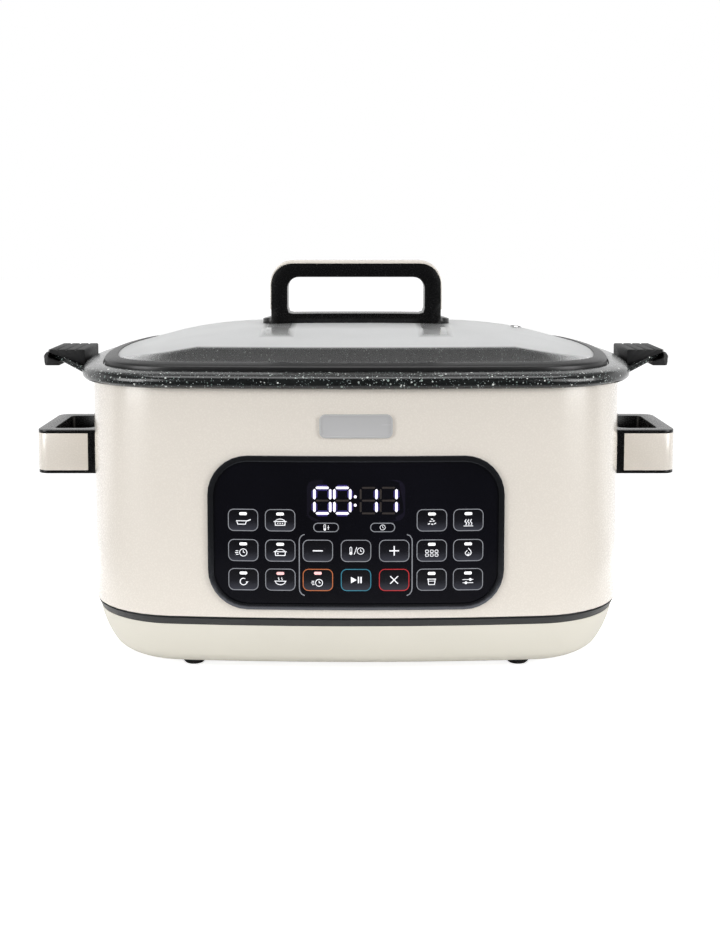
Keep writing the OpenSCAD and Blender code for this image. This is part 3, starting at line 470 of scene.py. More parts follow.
surface("bare_edge", lin(226, 226, 226), 0.04, 0.2, 0.05, 500.0, 0.02, metallic=1.0, stretch=(0.1, 1, 1))

# the painted reflection on the lid's raised middle, a white haze standing in for the glass's reflection of
# the bright studio: its share, the heights (in metres) at which it starts and thins, the distances from the
# middle over which it comes further down the slope, and by how much
PAINTED_REFLECTION = 0.86
PAINTED_REFLECTION_START = (0.2262, 0.2272)
PAINTED_REFLECTION_THINS = (0.2275, 0.237)
PAINTED_REFLECTION_ENDS = (0.112, 0.176)
PAINTED_REFLECTION_DROP = 0.009
# the clear stripe in the painted reflection at a handle screw's x, front to back over the dome: its half
# width and the heights at which it opens
REFLECTION_GAP_SIDE = (0.008, 0.013)
REFLECTION_GAP_FOOT = (0.2322, 0.2338)


def painted_reflection_gaps(t, x, z):
    """The painted reflection's share at the handle screws' x: it thins there, so that washers and screw heads
    show.
    """
    away = calc(t, "ABSOLUTE", calc(t, "SUBTRACT", calc(t, "ABSOLUTE", x), POST_X * MM))
    beside = maprange(t, away, *REFLECTION_GAP_SIDE, 0.0, 1.0)
    below = maprange(t, z, *REFLECTION_GAP_FOOT, 1.0, 0.0)
    return maprange(t, calc(t, "MAXIMUM", beside, below), 0.0, 1.0, 0.2, 1.0)


def painted_reflection_shader(t, co):
    """Painted reflection: a white haze that scatters light back and lets some through, in place of the
    glass's reflection of the studio.
    """
    white = t.nodes.new("ShaderNodeBsdfDiffuse")
    pale = ramp(t, noise(t, co, 1400.0, 2.0), [(0.3, (0.88, 0.89, 0.89)), (0.7, (0.95, 0.95, 0.95))])
    t.links.new(pale, white.inputs[0])
    through = t.nodes.new("ShaderNodeBsdfTranslucent")
    through.inputs[0].default_value = (0.92, 0.93, 0.93, 1)
    return mix_shaders(t, 0.4, white.outputs[0], through.outputs[0])


def painted_reflection_share(t, co):
    """Where the painted reflection lies: on the raised middle, and not on the sloping band round it."""
    x, _, z = axes(t, co)
    level = calc(t, "ADD", z, maprange(t, calc(t, "ABSOLUTE", x), *PAINTED_REFLECTION_ENDS, 0.0, PAINTED_REFLECTION_DROP))
    high = maprange(t, level, *PAINTED_REFLECTION_START, 0.0, PAINTED_REFLECTION)
    # the painted reflection varies slowly, and is stronger low on the dome than at its top
    reflection_unevenness = calc(t, "MULTIPLY", maprange(t, noise(t, co, 14.0, 3.0), 0.3, 0.7, 0.94, 1.03),
                 maprange(t, z, *PAINTED_REFLECTION_THINS, 1.12, 0.95))
    return calc(t, "MULTIPLY", calc(t, "MULTIPLY", high, painted_reflection_gaps(t, x, z)), reflection_unevenness)


def glass_material():
    """Clear tempered glass with a painted reflection, a white haze on its raised middle."""
    t, b, co = material("lid_glass")
    fine = noise(t, co, 45.0, 2.0)
    tint = ramp(t, fine, [(0.3, (0.955, 0.965, 0.962)), (0.7, (0.975, 0.982, 0.98))])
    t.links.new(tint, b.inputs["Base Color"])
    t.links.new(maprange(t, fine, 0.3, 0.7, 0.0, 0.02), b.inputs["Roughness"])
    b.inputs["IOR"].default_value = 1.5
    b.inputs["Transmission Weight"].default_value = 1.0
    to_output(t, mix_shaders(t, painted_reflection_share(t, co), b.outputs[0], painted_reflection_shader(t, co)))


def panel_material():
    """Glossy near-black window of the control panel."""
    t, b, co = material("panel_window")
    big = noise(t, co, 9.0, 3.0)
    t.links.new(ramp(t, big, [(0.3, lin(8, 8, 13)), (0.7, lin(13, 13, 20))]), b.inputs["Base Color"])
    fine = noise(t, co, 300.0, 2.0)
    t.links.new(maprange(t, fine, 0.3, 0.7, 0.1, 0.15), b.inputs["Roughness"])
    b.inputs["Specular IOR Level"].default_value = 0.35


INK_DRIFT = 0.12


def lit(name, rgb, strength):
    """Ink lit from behind: an even glow with slight variation."""
    t, b, co = material(name)
    n = noise(t, co, 160.0, 2.0)
    lo = tuple(c * (1 - INK_DRIFT) for c in rgb[:3])
    hi = tuple(min(1.0, c * (1 + INK_DRIFT)) for c in rgb[:3])
    t.links.new(ramp(t, n, [(0.3, lo), (0.7, hi)]), b.inputs["Emission Color"])
    half = [tuple(v * 0.5 for v in colour) for colour in (lo, hi)]
    t.links.new(ramp(t, n, [(0.3, half[0]), (0.7, half[1])]), b.inputs["Base Color"])
    b.inputs["Emission Strength"].default_value = strength
    b.inputs["Roughness"].default_value = 0.4


def glowing(t, b, colour, strength, rough):
    """A surface that shines faintly in its own colour."""
    t.links.new(colour, b.inputs["Base Color"])
    t.links.new(colour, b.inputs["Emission Color"])
    b.inputs["Emission Strength"].default_value = strength
    b.inputs["Roughness"].default_value = rough


def key_fill_painted_shade_material():
    """A key's face with painted shade and a faint glow: lighter at its foot and darker at its top."""
    t, b, co = material("key_fill_painted_shade")
    uv = t.nodes.new("ShaderNodeUVMap")
    uv.uv_map = "UVMap"
    _, up, _ = axes(t, uv.outputs[0])
    # painted shade: lighter at the key's foot, darker towards its top
    shade = calc(t, "MULTIPLY_ADD", noise(t, co, 200.0, 2.0), 0.1, up)
    colour = ramp(t, shade, [(0.05, lin(46, 47, 54)), (0.5, lin(16, 16, 21)), (0.95, lin(8, 8, 12))])
    glowing(t, b, colour, 0.55, 0.2)


def display_material():
    """The faint glow of the display's field."""
    t, b, co = material("display_glow")
    colour = ramp(t, noise(t, co, 22.0, 2.0), [(0.3, lin(13, 12, 19)), (0.7, lin(18, 16, 27))])
    glowing(t, b, colour, 0.5, 0.14)


glass_material()
panel_material()
lit("ink_grey", lin(134, 136, 142), 0.65)
lit("ink_white", lin(235, 236, 240), 0.9)
lit("ink_orange", lin(190, 108, 66), 0.6)
lit("ink_blue", lin(56, 128, 150), 0.6)
lit("ink_red", lin(186, 44, 48), 0.65)
lit("digit_lit", lin(238, 234, 255), 1.1)
lit("digit_halo", lin(60, 50, 118), 0.55)
lit("digit_dim", lin(52, 46, 44), 0.5)
key_fill_painted_shade_material()
lit("lamp_lit", lin(250, 250, 252), 1.0)
lit("lamp_red", lin(255, 190, 190), 1.0)
surface("band_grey", lin(44, 45, 46), 0.08, 0.34, 0.05, 1100.0, 0.02)
display_material()


def set_material(ob, key):
    if ob.data.materials:
        ob.data.materials[0] = mats[key]
    else:
        ob.data.materials.append(mats[key])


# ---------------------------------------------------------------- CAD nodes: finish and soft edges
SLOTS = {s["node"]: s["material_slot"] for s in frame["record"]["subparts"]}
EDGES = {"lid_handle": 0.9, "lid_handle_cap": 0.5, "side_handle_left": 0.7, "side_handle_right": 0.7,
         "handle_cover_left": 0.25, "handle_cover_right": 0.25, "pot_grip_left": 0.5, "pot_grip_right": 0.5,
         "control_bezel": 1.0, "front_badge": 0.35, "power_inlet": 0.6, "handle_washers": 0.5,
         "foot_front_left": 0.5, "foot_front_right": 0.5, "foot_rear_left": 0.5, "foot_rear_right": 0.5}
WELD, EDGE_ANGLE = 0.00001, 32
PLAIN_SMOOTH, EDGED_SMOOTH = 25, 35


def smooth_group(degrees):
    """Geometry nodes that shade a mesh smooth except over edges sharper than the given angle."""
    g = bpy.data.node_groups.new("shade_smooth_%d" % degrees, "GeometryNodeTree")
    g.interface.new_socket("Geometry", in_out="INPUT", socket_type="NodeSocketGeometry")
    g.interface.new_socket("Geometry", in_out="OUTPUT", socket_type="NodeSocketGeometry")
    gi, go = g.nodes.new("NodeGroupInput"), g.nodes.new("NodeGroupOutput")
    drop = g.nodes.new("GeometryNodeRemoveAttribute")
    drop.inputs["Name"].default_value = "custom_normal"
    face = g.nodes.new("GeometryNodeSetShadeSmooth")
    face.domain = "FACE"
    edge = g.nodes.new("GeometryNodeSetShadeSmooth")
    edge.domain = "EDGE"
    ang = g.nodes.new("GeometryNodeInputMeshEdgeAngle")
    cmp = g.nodes.new("FunctionNodeCompare")
    cmp.operation = "LESS_THAN"
    cmp.inputs["B"].default_value = math.radians(degrees)
    g.links.new(gi.outputs[0], drop.inputs[0])
    g.links.new(drop.outputs[0], face.inputs["Geometry"])
    g.links.new(face.outputs[0], edge.inputs["Geometry"])
    g.links.new(ang.outputs["Unsigned Angle"], cmp.inputs["A"])
    g.links.new(cmp.outputs[0], edge.inputs["Shade Smooth"])
    g.links.new(edge.outputs[0], go.inputs[0])
    return g


SMOOTH = {degrees: smooth_group(degrees) for degrees in (PLAIN_SMOOTH, EDGED_SMOOTH)}


def finish_node(name, edge):
    """The CAD node's own material, soft edges of the given width in mm, and smooth shading."""
    ob = NODES[name]
    mat = mats[SLOTS[name]]
    if ob.material_slots:
        for slot in ob.material_slots:
            slot.link = "OBJECT"
            slot.material = mat
    else:
        ob.data.materials.append(mat)
    weld = ob.modifiers.new("weld", "WELD")
    weld.merge_threshold = WELD
    if edge:
        bevel(ob, edge, EDGE_ANGLE)
    smooth = ob.modifiers.new("smooth", "NODES")
    smooth.node_group = SMOOTH[EDGED_SMOOTH if edge else PLAIN_SMOOTH]


for n in NODES:
    finish_node(n, EDGES.get(n, 0.0))


def piece(ob, key, body, slot_name, *nodes):
    """Gives a detailed piece its material and its body, and hides the CAD nodes it replaces; slot_name is not
    used.
    """
    set_material(ob, key)
    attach(ob, body)
    if nodes:
        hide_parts(*nodes)


# ---------------------------------------------------------------- panel printing
def on_panel(name, polys, key, lift, graded):
    """Flat shapes lift mm over the bowed window; polys are lists of (x, z), anticlockwise from the front."""
    verts, faces = [], []
    for poly in polys:
        first = len(verts)
        verts += [(x, front_y(x, 0.7) - lift, z) for x, z in poly]
        faces.append(tuple(range(first, first + len(poly))))
    ob = new_object(name, verts, faces, smooth=False)
    if graded:
        layer = ob.data.uv_layers.new(name="UVMap")
        for face, poly in zip(ob.data.polygons, polys):
            lo = min(z for _, z in poly)
            hi = max(z for _, z in poly)
            for i in face.loop_indices:
                z = ob.data.vertices[ob.data.loops[i].vertex_index].co.z / MM
                layer.data[i].uv = (0.5, (z - lo) / (hi - lo))
    piece(ob, key, "housing", "panel_window")


def line(pts, w, closed=False):
    """Quads of a stroke of width w through pts, with mitred joins."""
    n = len(pts)
    left, right = [], []
    for i in range(n):
        p = Vector(pts[i])
        prev = Vector(pts[i - 1]) if (i > 0 or closed) else None
        nxt = Vector(pts[(i + 1) % n]) if (i < n - 1 or closed) else None
        d1 = (p - prev).normalized() if prev is not None else (nxt - p).normalized()
        d2 = (nxt - p).normalized() if nxt is not None else d1
        t = (d1 + d2)
        t = t.normalized() if t.length > 1e-6 else d1
        nrm = Vector((-t.y, t.x))
        k = 1 / max(0.5, nrm.dot(Vector((-d1.y, d1.x))))
        left.append(p + nrm * (w / 2 * k))
        right.append(p - nrm * (w / 2 * k))
    quads = []
    for i in range(n if closed else n - 1):
        j = (i + 1) % n
        quads.append([tuple(right[i]), tuple(right[j]), tuple(left[j]), tuple(left[i])])
    return quads


def circle(cx, cz, r, n=18):
    angles = [2 * math.pi * i / n for i in range(n)]
    return [(cx + r * math.cos(a), cz + r * math.sin(a)) for a in angles]


def moved(polys, x, z, k=1.0):
    return [[(x + k * a, z + k * b) for a, b in p] for p in polys]


def icon_pan():
    pan = line([(-4.2, 0.6), (-3.6, -1.7), (1.6, -1.7), (2.2, 0.6)], 0.55)
    return pan + line([(-4.7, 0.6), (2.7, 0.6)], 0.55) + line([(2.6, 0.5), (5.2, 1.5)], 0.7)


def icon_pot(level):
    body = line([(-3.4, 0.4), (-3.2, -2.2), (3.2, -2.2), (3.4, 0.4)], 0.55)
    brim = line([(-4.4, 0.4), (4.4, 0.4)], 0.55)
    lid = line(curve_through([(-3.2, 0.9), (-1.6, 1.8), (0, 2.05), (1.6, 1.8), (3.2, 0.9)], 3), 0.5)
    bars = []
    for i in range(level):
        bars += line([(-1.6 + 1.6 * i, -1.3), (-1.6 + 1.6 * i, -0.5)], 0.7)
    return body + brim + lid + bars


def icon_fast():
    clock = line(circle(0, -0.4, 2.5), 0.5, True)
    return clock + line([(0, -0.4), (0, 1.1)], 0.5) + line([(0, -0.4), (1.1, -0.4)], 0.5) \
        + line([(-5.2, 0.7), (-3.4, 0.7)], 0.5) + line([(-5.6, -0.5), (-3.4, -0.5)], 0.5) \
        + line([(-5.0, -1.7), (-3.2, -1.7)], 0.5)


def part_circle(x, z, width, height, degrees):
    """Points on an ellipse's arc, at the given degrees."""
    return [(x + width * math.cos(math.radians(a)), z + height * math.sin(math.radians(a))) for a in degrees]


def icon_reheat():
    arrow = [(2.4, -1.6), (3.3, -0.3), (1.5, -0.3)]
    return line(part_circle(0, -0.4, 2.3, 2.3, range(60, 361, 20)), 0.55) + [arrow]


def icon_bowl():
    bowl = part_circle(0, 0.2, 3.4, 2.5, range(180, 361, 15))
    steam_left = line(curve_through([(-1.2, 0.9), (-0.8, 1.5), (-1.4, 2.1), (-1.0, 2.7)], 3), 0.45)
    steam_right = line(curve_through([(0.9, 0.9), (1.3, 1.5), (0.7, 2.1), (1.1, 2.7)], 3), 0.45)
    return line(bowl, 0.55) + line([(-4.0, 0.2), (4.0, 0.2)], 0.55) + steam_left + steam_right


def icon_grain():
    out = []
    for x, z, tilt in ((-2.0, -1.2, 20), (0.2, -1.5, -10), (2.1, -1.0, 30), (-0.9, 0.5, 0), (1.2, 0.7, 15),
                       (0.1, 2.0, -20)):
        ca, sa = math.cos(math.radians(tilt)), math.sin(math.radians(tilt))
        turns = [2 * math.pi * i / 12 for i in range(12)]
        out.append([(x + 0.85 * math.cos(a) * ca - 0.42 * math.sin(a) * sa,
                     z + 0.85 * math.cos(a) * sa + 0.42 * math.sin(a) * ca) for a in turns])
    return out


def icon_steam():
    out = []
    for x in (-1.8, 0, 1.8):
        out += line(curve_through([(x, -2.2), (x + 0.6, -1.0), (x - 0.5, 0.2), (x + 0.4, 1.6)], 3), 0.55)
    return out + line([(-3.2, -2.9), (3.2, -2.9)], 0.5)


def icon_dots():
    out = []
    for x in (-3.2, 0, 3.2):
        for z in (-1.9, 0.7):
            out += line(rounded_at(x, z, 2.0, 1.7, 0.4, 2), 0.4, True)
    return out


def icon_warm():
    flame = curve_through([(0, 2.6), (1.7, 0.7), (1.9, -1.2), (0, -2.6), (-1.9, -1.2), (-1.3, 0.4),
                           (-0.5, 0.9)], 4)
    return line(flame, 0.5) + line(curve_through([(0.1, -0.2), (0.7, -1.2), (0, -2.1), (-0.7, -1.3)], 3), 0.4)


def icon_cup():
    cup = line([(-2.4, 1.6), (-2.0, -2.2), (2.0, -2.2), (2.4, 1.6)], 0.5)
    return cup + line([(-2.9, 1.6), (2.9, 1.6)], 0.5) + line([(-2.2, 0.2), (2.2, 0.2)], 0.4)


def icon_hand():
    return line([(-3.6, -1.2), (3.6, -1.2)], 0.45) + line([(-3.6, 1.0), (3.6, 1.0)], 0.45) \
        + [circle(-1.4, -1.2, 0.95, 12), circle(1.6, 1.0, 0.95, 12)]


def icon_thermo_clock():
    thermometer = line([(-3.9, -1.0), (-3.9, 2.0), (-3.3, 2.5), (-2.7, 2.0), (-2.7, -1.0)], 0.4)
    bulb = [circle(-3.3, -1.6, 1.0, 14)]
    slash = line([(-1.2, -2.4), (0.5, 2.4)], 0.45)
    clock = line(circle(2.9, -0.1, 2.1), 0.42, True) + line([(2.9, 1.1), (2.9, -0.1), (3.8, -0.4)], 0.4)
    return thermometer + bulb + slash + clock


def icon_play():
    return [[(-3.1, 2.0), (-3.1, -2.0), (0.4, 0.0)]] + [[(1.1, -2.0), (1.9, -2.0), (1.9, 2.0), (1.1, 2.0)],
                                                       [(2.7, -2.0), (3.5, -2.0), (3.5, 2.0), (2.7, 2.0)]]


KEY_X = [-76.0, -51.0, -25.7, 0.0, 25.7, 51.0, 75.6]
KEY_Z = [8.7, -12.0, -32.0]
# width, height, corner radius and points to a corner: of a key's face and outline, and of a lamp bar
KEY_FACE, KEY_RIM, LAMP_BAR = (19.4, 14.1, 3.4), (19.9, 14.6, 3.7), (5.2, 2.0, 0.9, 4)
ICONS = {(0, 0): icon_pan, (1, 0): lambda: icon_pot(3), (5, 0): icon_grain, (6, 0): icon_steam,
         (0, 1): icon_fast, (1, 1): lambda: icon_pot(1), (5, 1): icon_dots, (6, 1): icon_warm,
         (0, 2): icon_reheat, (1, 2): icon_bowl, (5, 2): icon_cup, (6, 2): icon_hand}
TINTED = {(2, 2): "key_outline_orange", (3, 2): "key_outline_blue", (4, 2): "key_outline_red"}
RED_LAMP = (1, 2)
DIGIT_HALF_WIDTH, DIGIT_FOOT, DIGIT_TOP = 5.3, 119.6, 137.0
DISPLAY_Z = 128.3
MARKS_Z = 110.0
# name, material, mm over the window, and whether it is graded from foot to top, which gives the key faces
# their painted shade
PRINTS = (("display_glow", "display_glow", 0.02, True), ("key_faces", "key_fill_painted_shade", 0.03, True),
          ("key_outlines", "ink_grey", 0.06, False), ("key_outline_orange", "ink_orange", 0.06, False),
          ("key_outline_blue", "ink_blue", 0.06, False), ("key_outline_red", "ink_red", 0.06, False),
          ("key_symbols", "ink_white", 0.08, False), ("key_lamp_bars", "lamp_lit", 0.08, False),
          ("key_lamp_bars_red", "lamp_red", 0.08, False), ("digit_halos", "digit_halo", 0.05, False),
          ("digits_lit", "digit_lit", 0.09, False), ("digits_unlit", "digit_dim", 0.07, False))


def digit_bar(xa, za, xb, zb, w):
    """A pointed bar from one place to another, w its half width."""
    d = Vector((xb - xa, zb - za)).normalized()
    n = Vector((-d.y, d.x))
    a, b = Vector((xa, za)) + d * 0.75, Vector((xb, zb)) - d * 0.75
    return [tuple(a), tuple(a + d * w * 0.85 - n * w), tuple(b - d * w * 0.85 - n * w), tuple(b),
            tuple(b - d * w * 0.85 + n * w), tuple(a + d * w * 0.85 + n * w)]


def seven_segment(cx, lit_set, w):
    """Digit bars, lit and unlit: a top, b and c right, d bottom, e and f left, g middle."""
    side, z0, z1 = DIGIT_HALF_WIDTH, DIGIT_FOOT, DIGIT_TOP
    zm = (z0 + z1) / 2
    ends = {"a": (-side, z1, side, z1), "g": (-side, zm, side, zm), "d": (-side, z0, side, z0),
            "f": (-side, zm, -side, z1), "b": (side, zm, side, z1),
            "e": (-side, z0, -side, zm), "c": (side, z0, side, zm)}
    on, off = [], []
    for k, (xa, za, xb, zb) in ends.items():
        if k in lit_set:
            on.append(digit_bar(cx + xa, za, cx + xb, zb, w))
        else:
            off.append(digit_bar(cx + xa, za, cx + xb, zb, w * 0.75))
    return on, off


def key_grid(shapes):
    """The keys' faces and outlines; most keys have a symbol with a lamp bar over it."""
    for column, x in enumerate(KEY_X):
        for row, rise in enumerate(KEY_Z):
            if row == 0 and 1 < column < 5:
                continue
            z = PANEL_Z + rise
            shapes["key_faces"].append(rounded_at(x, z, *KEY_FACE))
            shapes[TINTED.get((column, row), "key_outlines")] += line(rounded_at(x, z, *KEY_RIM), 0.55, True)
            if (column, row) in ICONS:
                shapes["key_symbols"] += moved(ICONS[(column, row)](), x, z - 1.2)
                lamp = "key_lamp_bars_red" if (column, row) == RED_LAMP else "key_lamp_bars"
                shapes[lamp].append(rounded_at(x, z + 4.3, *LAMP_BAR))


def middle_symbols(shapes):
    """Minus, plus, play, clock and cross on the three middle columns."""
    left, right = KEY_X[2], KEY_X[4]
    z1, z2 = PANEL_Z + KEY_Z[1], PANEL_Z + KEY_Z[2]
    symbols = shapes["key_symbols"]
    symbols += line([(left - 3.4, z1), (left + 3.4, z1)], 0.8)
    symbols += line([(right - 3.3, z1), (right + 3.3, z1)], 0.8)
    symbols += line([(right, z1 - 3.3), (right, z1 + 3.3)], 0.8)
    symbols += moved(icon_thermo_clock(), 0, z1, 1.05)
    symbols += moved(icon_play(), 0, z2, 1.1)
    symbols += moved(icon_fast(), -24.9, z2 - 1.6, 0.95)
    symbols += line([(right - 2.6, z2 - 2.6), (right + 2.6, z2 + 2.6)], 0.7)
    symbols += line([(right - 2.6, z2 + 2.6), (right + 2.6, z2 - 2.6)], 0.7)
    shapes["key_lamp_bars_red"].append(rounded_at(left, z2 + 4.6, *LAMP_BAR))


def small_marks(shapes):
    """Two small fields with signs under the display, and the brackets beside the middle keys."""
    rims, symbols = shapes["key_outlines"], shapes["key_symbols"]
    for x, width in ((-20.1, 16.6), (17.9, 16.2)):
        rims += line(rounded_at(x, MARKS_Z, width, 5.8, 2.8), 0.6, True)
    symbols += line([(-21.6, 108.6), (-21.6, 111.6), (-21.0, 112.0), (-20.4, 111.6), (-20.4, 108.6)], 0.35)
    symbols += [circle(-21.0, 108.6, 0.8, 12)]
    symbols += line([(-18.6, 108.4), (-18.6, 111.4)], 0.35) + line([(-19.2, 109.9), (-18.0, 109.9)], 0.35)
    symbols += line(circle(17.9, MARKS_Z, 1.75, 16), 0.36, True)
    symbols += line([(17.9, 111.1), (17.9, 110.0), (18.7, 109.6)], 0.34)
    for s, x in ((-1, -38.2), (1, 37.8)):
        bracket = [(x - s * 3.6, 105.2), (x - s * 1.6, 104.3), (x - s * 0.3, 102.4), (x, 100.4),
                   (x, 68.4), (x - s * 0.3, 66.2), (x - s * 1.6, 64.2), (x - s * 3.6, 63.2)]
        rims += line(bracket[::s], 0.7)


def display(shapes):
    """The display's field, four digits with soft halos, and the colon."""
    shapes["display_glow"].append(rounded_at(0.0, DISPLAY_Z, 66.0, 28.0, 6.0))
    for x, bars in ((-22.6, "abcdef"), (-9.2, "abcdef"), (8.4, "bc"), (21.8, "bc")):
        on, off = seven_segment(x, bars, 0.85)
        shapes["digits_lit"] += on
        shapes["digits_unlit"] += off
        shapes["digit_halos"] += seven_segment(x, bars, 1.9)[0]
    for z in (130.9, 125.2):
        shapes["digits_lit"].append(rounded_at(-0.5, z, 1.9, 1.9, 0.7, 3))


def panel():
    shapes = {name: [] for name, *_ in PRINTS}
    key_grid(shapes)
    middle_symbols(shapes)
    small_marks(shapes)
    display(shapes)
    for name, key, lift, graded in PRINTS:
        on_panel(name, shapes[name], key, lift, graded)


panel()


# ---------------------------------------------------------------- smooth skins over the faceted CAD forms
def pot_body():
    """The cooking pot as one cast form: outside, lid ledge with its skirt, rolled rim, inside."""
    wall, lip, seat, floor = POT_WALL, POT_LIP, SEAT_Z, FLOOR_Z
    outer = curve_through([(wall - 26, POT_Z, 1), (wall - 16, POT_Z + 0.3), (wall - 9, POT_Z + 2.4),
                           (wall - 4.6, POT_Z + 7.6), (wall - 2.2, POT_Z + 13.5), (wall + 2, seat - 7, 1)], 3)
    under = (curve_through([(wall + 2, seat - 7), (wall + 5, seat - 3.6, 1)], 2)[1:]
             + curve_through([(wall + 5, seat - 3.6, 1), (-3, seat - 3.4, 1)], 2)[1:])
    skirt = curve_through([(-3, seat - 3.4, 1), (lip - 3.6, seat - 4.4), (lip - 1.8, seat - 6.6),
                           (lip - 1.6, RIM_Z, 1)], 3)[1:]
    rim = curve_through([(lip - 1.6, RIM_Z, 1), (lip, RIM_Z), (lip + 2, RIM_Z + 1.6), (lip + 2.8, RIM_Z + 4),
                         (lip + 2.2, RIM_Z + 6.6), (lip, RIM_Z + 8.6), (-1, RIM_Z + 10), (-5, RIM_Z + 10.5),
                         (-6.8, RIM_Z + 10.2), (-7.6, seat, 1)], 4)[1:]
    inner = curve_through([(-7.6, seat, 1), (wall + 1.4, seat), (wall, seat - 1.4), (wall - 1.4, seat - 12),
                           (wall - 5, floor + 12), (wall - 6.4, floor + 6.5), (wall - 10, floor + 2.2),
                           (wall - 17, floor + 0.2), (wall - 24, floor, 1)], 3)[1:]
    pot = loft("pot_cast_body", outer + under + skirt + rim + inner)
    smooth_by_angle(pot, 45)
    piece(pot, "pot_stone_coating", "pot", "pot_stone_coating", "cooking_pot")


# an ear's side view: how far outside the wall and how high over the lid's seat, in mm
EAR_SIDE = ((4.2, -8.6), (5.0, -9.1), (8, -10.5), (36, -0.42), (36.6, 0.98), (35.4, 3.26), (8, -6.6),
            (4.2, -3))
EAR_ROWS = 25
EAR_HALF_WIDTH, EAR_FLARE, EAR_TAPER = 25.5, 15.0, 5.0
FLARE_END, FLARE_LENGTH = 16.0, 12.0
TIP_START, TIP_LENGTH = 31, 5.6
# the underside is bare metal beyond this x, in metres
BARE_FROM = 0.2035


def ear_point(s, across, x, rise):
    """A point of the ear on side s, across from -1 to 1: it flares at its root and is rounded at its tip."""
    t = max(0.0, min(1.0, (FLARE_END - x) / FLARE_LENGTH))
    half = EAR_HALF_WIDTH + EAR_FLARE * t * t * (3 - 2 * t)
    tip = max(0.0, (x - TIP_START) / TIP_LENGTH)
    xx = x - (0.9 * tip) * (abs(across) ** 6) * 4
    return (s * (WIDTH / 2 + xx), across * (half - EAR_TAPER * tip * tip), SEAT_Z + rise)


def ear(name, s):
    """A cast ear: its side view swept across its plan, with rounded edges and bare metal underneath."""
    rows = [-1 + 2 * i / (EAR_ROWS - 1) for i in range(EAR_ROWS)]
    verts = [ear_point(s, across, x, rise) for across in rows for x, rise in EAR_SIDE]
    n = len(EAR_SIDE)
    faces = []
    for i in range(EAR_ROWS - 1):
        for j in range(n):
            k = (j + 1) % n
            faces.append((i * n + j, i * n + k, (i + 1) * n + k, (i + 1) * n + j))
    faces.append(tuple(range(n)))
    faces.append(tuple((EAR_ROWS - 1) * n + j for j in reversed(range(n))))
    ob = new_object(name, verts, faces)
    recalc(ob)
    smooth_by_angle(ob, 40)
    bevel(ob, 0.5, 40)
    ob.data.materials.append(mats["pot_stone_coating"])
    ob.data.materials.append(mats["bare_edge"])
    for face in ob.data.polygons:
        if face.normal.z < -0.6 and abs(face.center.x) > BARE_FROM:
            face.material_index = 1
    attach(ob, "pot")
    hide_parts("cooking_pot")


def lid_glass():
    """The lid: a shallow dome on a conical band, with a thicker rolled edge and its holes."""
    edge, low, high = LID_EDGE, LID_Z, LID_Z + GLASS
    dome_off, dome_z = edge - CONE_WIDTH, high + CONE * CONE_WIDTH
    shares = [i / 14 for i in range(14, 0, -1)]
    outside = [(dome_off, dome_z + DOME_H * (1 - k ** DOME_POWER), k) for k in shares]
    inside = [(off, z - GLASS, k) for off, z, k in reversed(outside)]
    rolled = [(edge - 4, low + 4 * CONE, 1), (edge - 1.2, low + 0.25, 1), (edge - 0.3, low + 0.5, 1),
              (edge, low + 1.1, 1), (edge, low + 1.9, 1), (edge - 0.3, low + 2.5, 1),
              (edge - 1.2, high + 0.1, 1), (edge - 4, high + 4 * CONE, 1), (edge - 20, high + 20 * CONE, 1)]
    rings = inside + [(edge - 20, low + 20 * CONE, 1)] + rolled + outside
    lid = loft("lid_glass_shell", [(off, z) for off, z, _ in rings], scale=[k for _, _, k in rings])
    drill(lid, [(s * POST_X, 0, POST_HOLE_R) for s in (-1, 1)] + [VENT_HOLE])
    smooth_by_angle(lid, 50)
    piece(lid, "lid_glass", "lid", "lid_glass", "lid_glass")


def lid_gasket():
    """The gasket, moulded round the glass's edge."""
    edge, low, high, seat = LID_EDGE, LID_Z, LID_Z + GLASS, SEAT_Z
    top = curve_through([(-8, seat + 0.1, 1), (-8, seat + 3.0), (-8.5, seat + 4.2), (-10, seat + 5.0),
                         (-13, high + 3 * CONE + 0.85), (edge - 6, high + 6 * CONE + 0.8),
                         (edge - 6.4, high + 6.4 * CONE + 0.1, 1)], 3)
    under = [(edge + 0.1, high + 0.1), (edge + 0.1, low - 0.1), (edge - 7.4, low + 7.4 * CONE - 0.1),
             (edge - 7.4, low + 3 * CONE - 0.1), (edge - 4, seat + 0.1)]
    gasket = loft("lid_gasket_ring", top + under, close=True)
    smooth_by_angle(gasket, 40)
    piece(gasket, "gasket_silicone", "lid", "gasket_silicone", "lid_gasket")


# the base's curve, low to high: offset in mm and share of its height
BASE_CURVE = ((-40, 0), (-30, 0.02), (-21, 0.105), (-14, 0.25), (-9, 0.484), (-5.5, 0.717), (-3.6, 0.9))


def base_moulding():
    curve = [(off, BASE_Z + share * BASE_H) for off, share in BASE_CURVE]
    outside = curve_through(curve + [(-3, BAND_Z, 1)], 4)
    inside = [(-7, BAND_Z), (-9, BASE_Z + BASE_H * 0.8), (-17.8, BASE_Z + 10.5), (-44, BASE_Z + 2.6)]
    base = loft("base_moulding", outside + inside)
    x, y, r = FOOT_HOLE
    drill(base, [(sx * x, sy * y, r) for sx in (-1, 1) for sy in (-1, 1)])
    smooth_by_angle(base, 40)
    piece(base, "base_plastic", "housing", "base_plastic", "base_shell")


def trim_band():
    """The dark band between base and wall."""
    foot, top = BAND_Z, BAND_Z + BAND_H
    band = loft("trim_band_ring", [(-9.5, foot), (-3.4, foot), (-3.1, foot + 0.3), (-1.0, top - 2.0),
                                   (-0.8, top - 1.6), (-2.4, top - 1.6), (-2.4, top), (-14, top),
                                   (-14, top - 2.5), (-9.5, top - 2.5)], close=True)
    smooth_by_angle(band, 35)
    piece(band, "band_grey", "housing", "black_plastic", "trim_band")


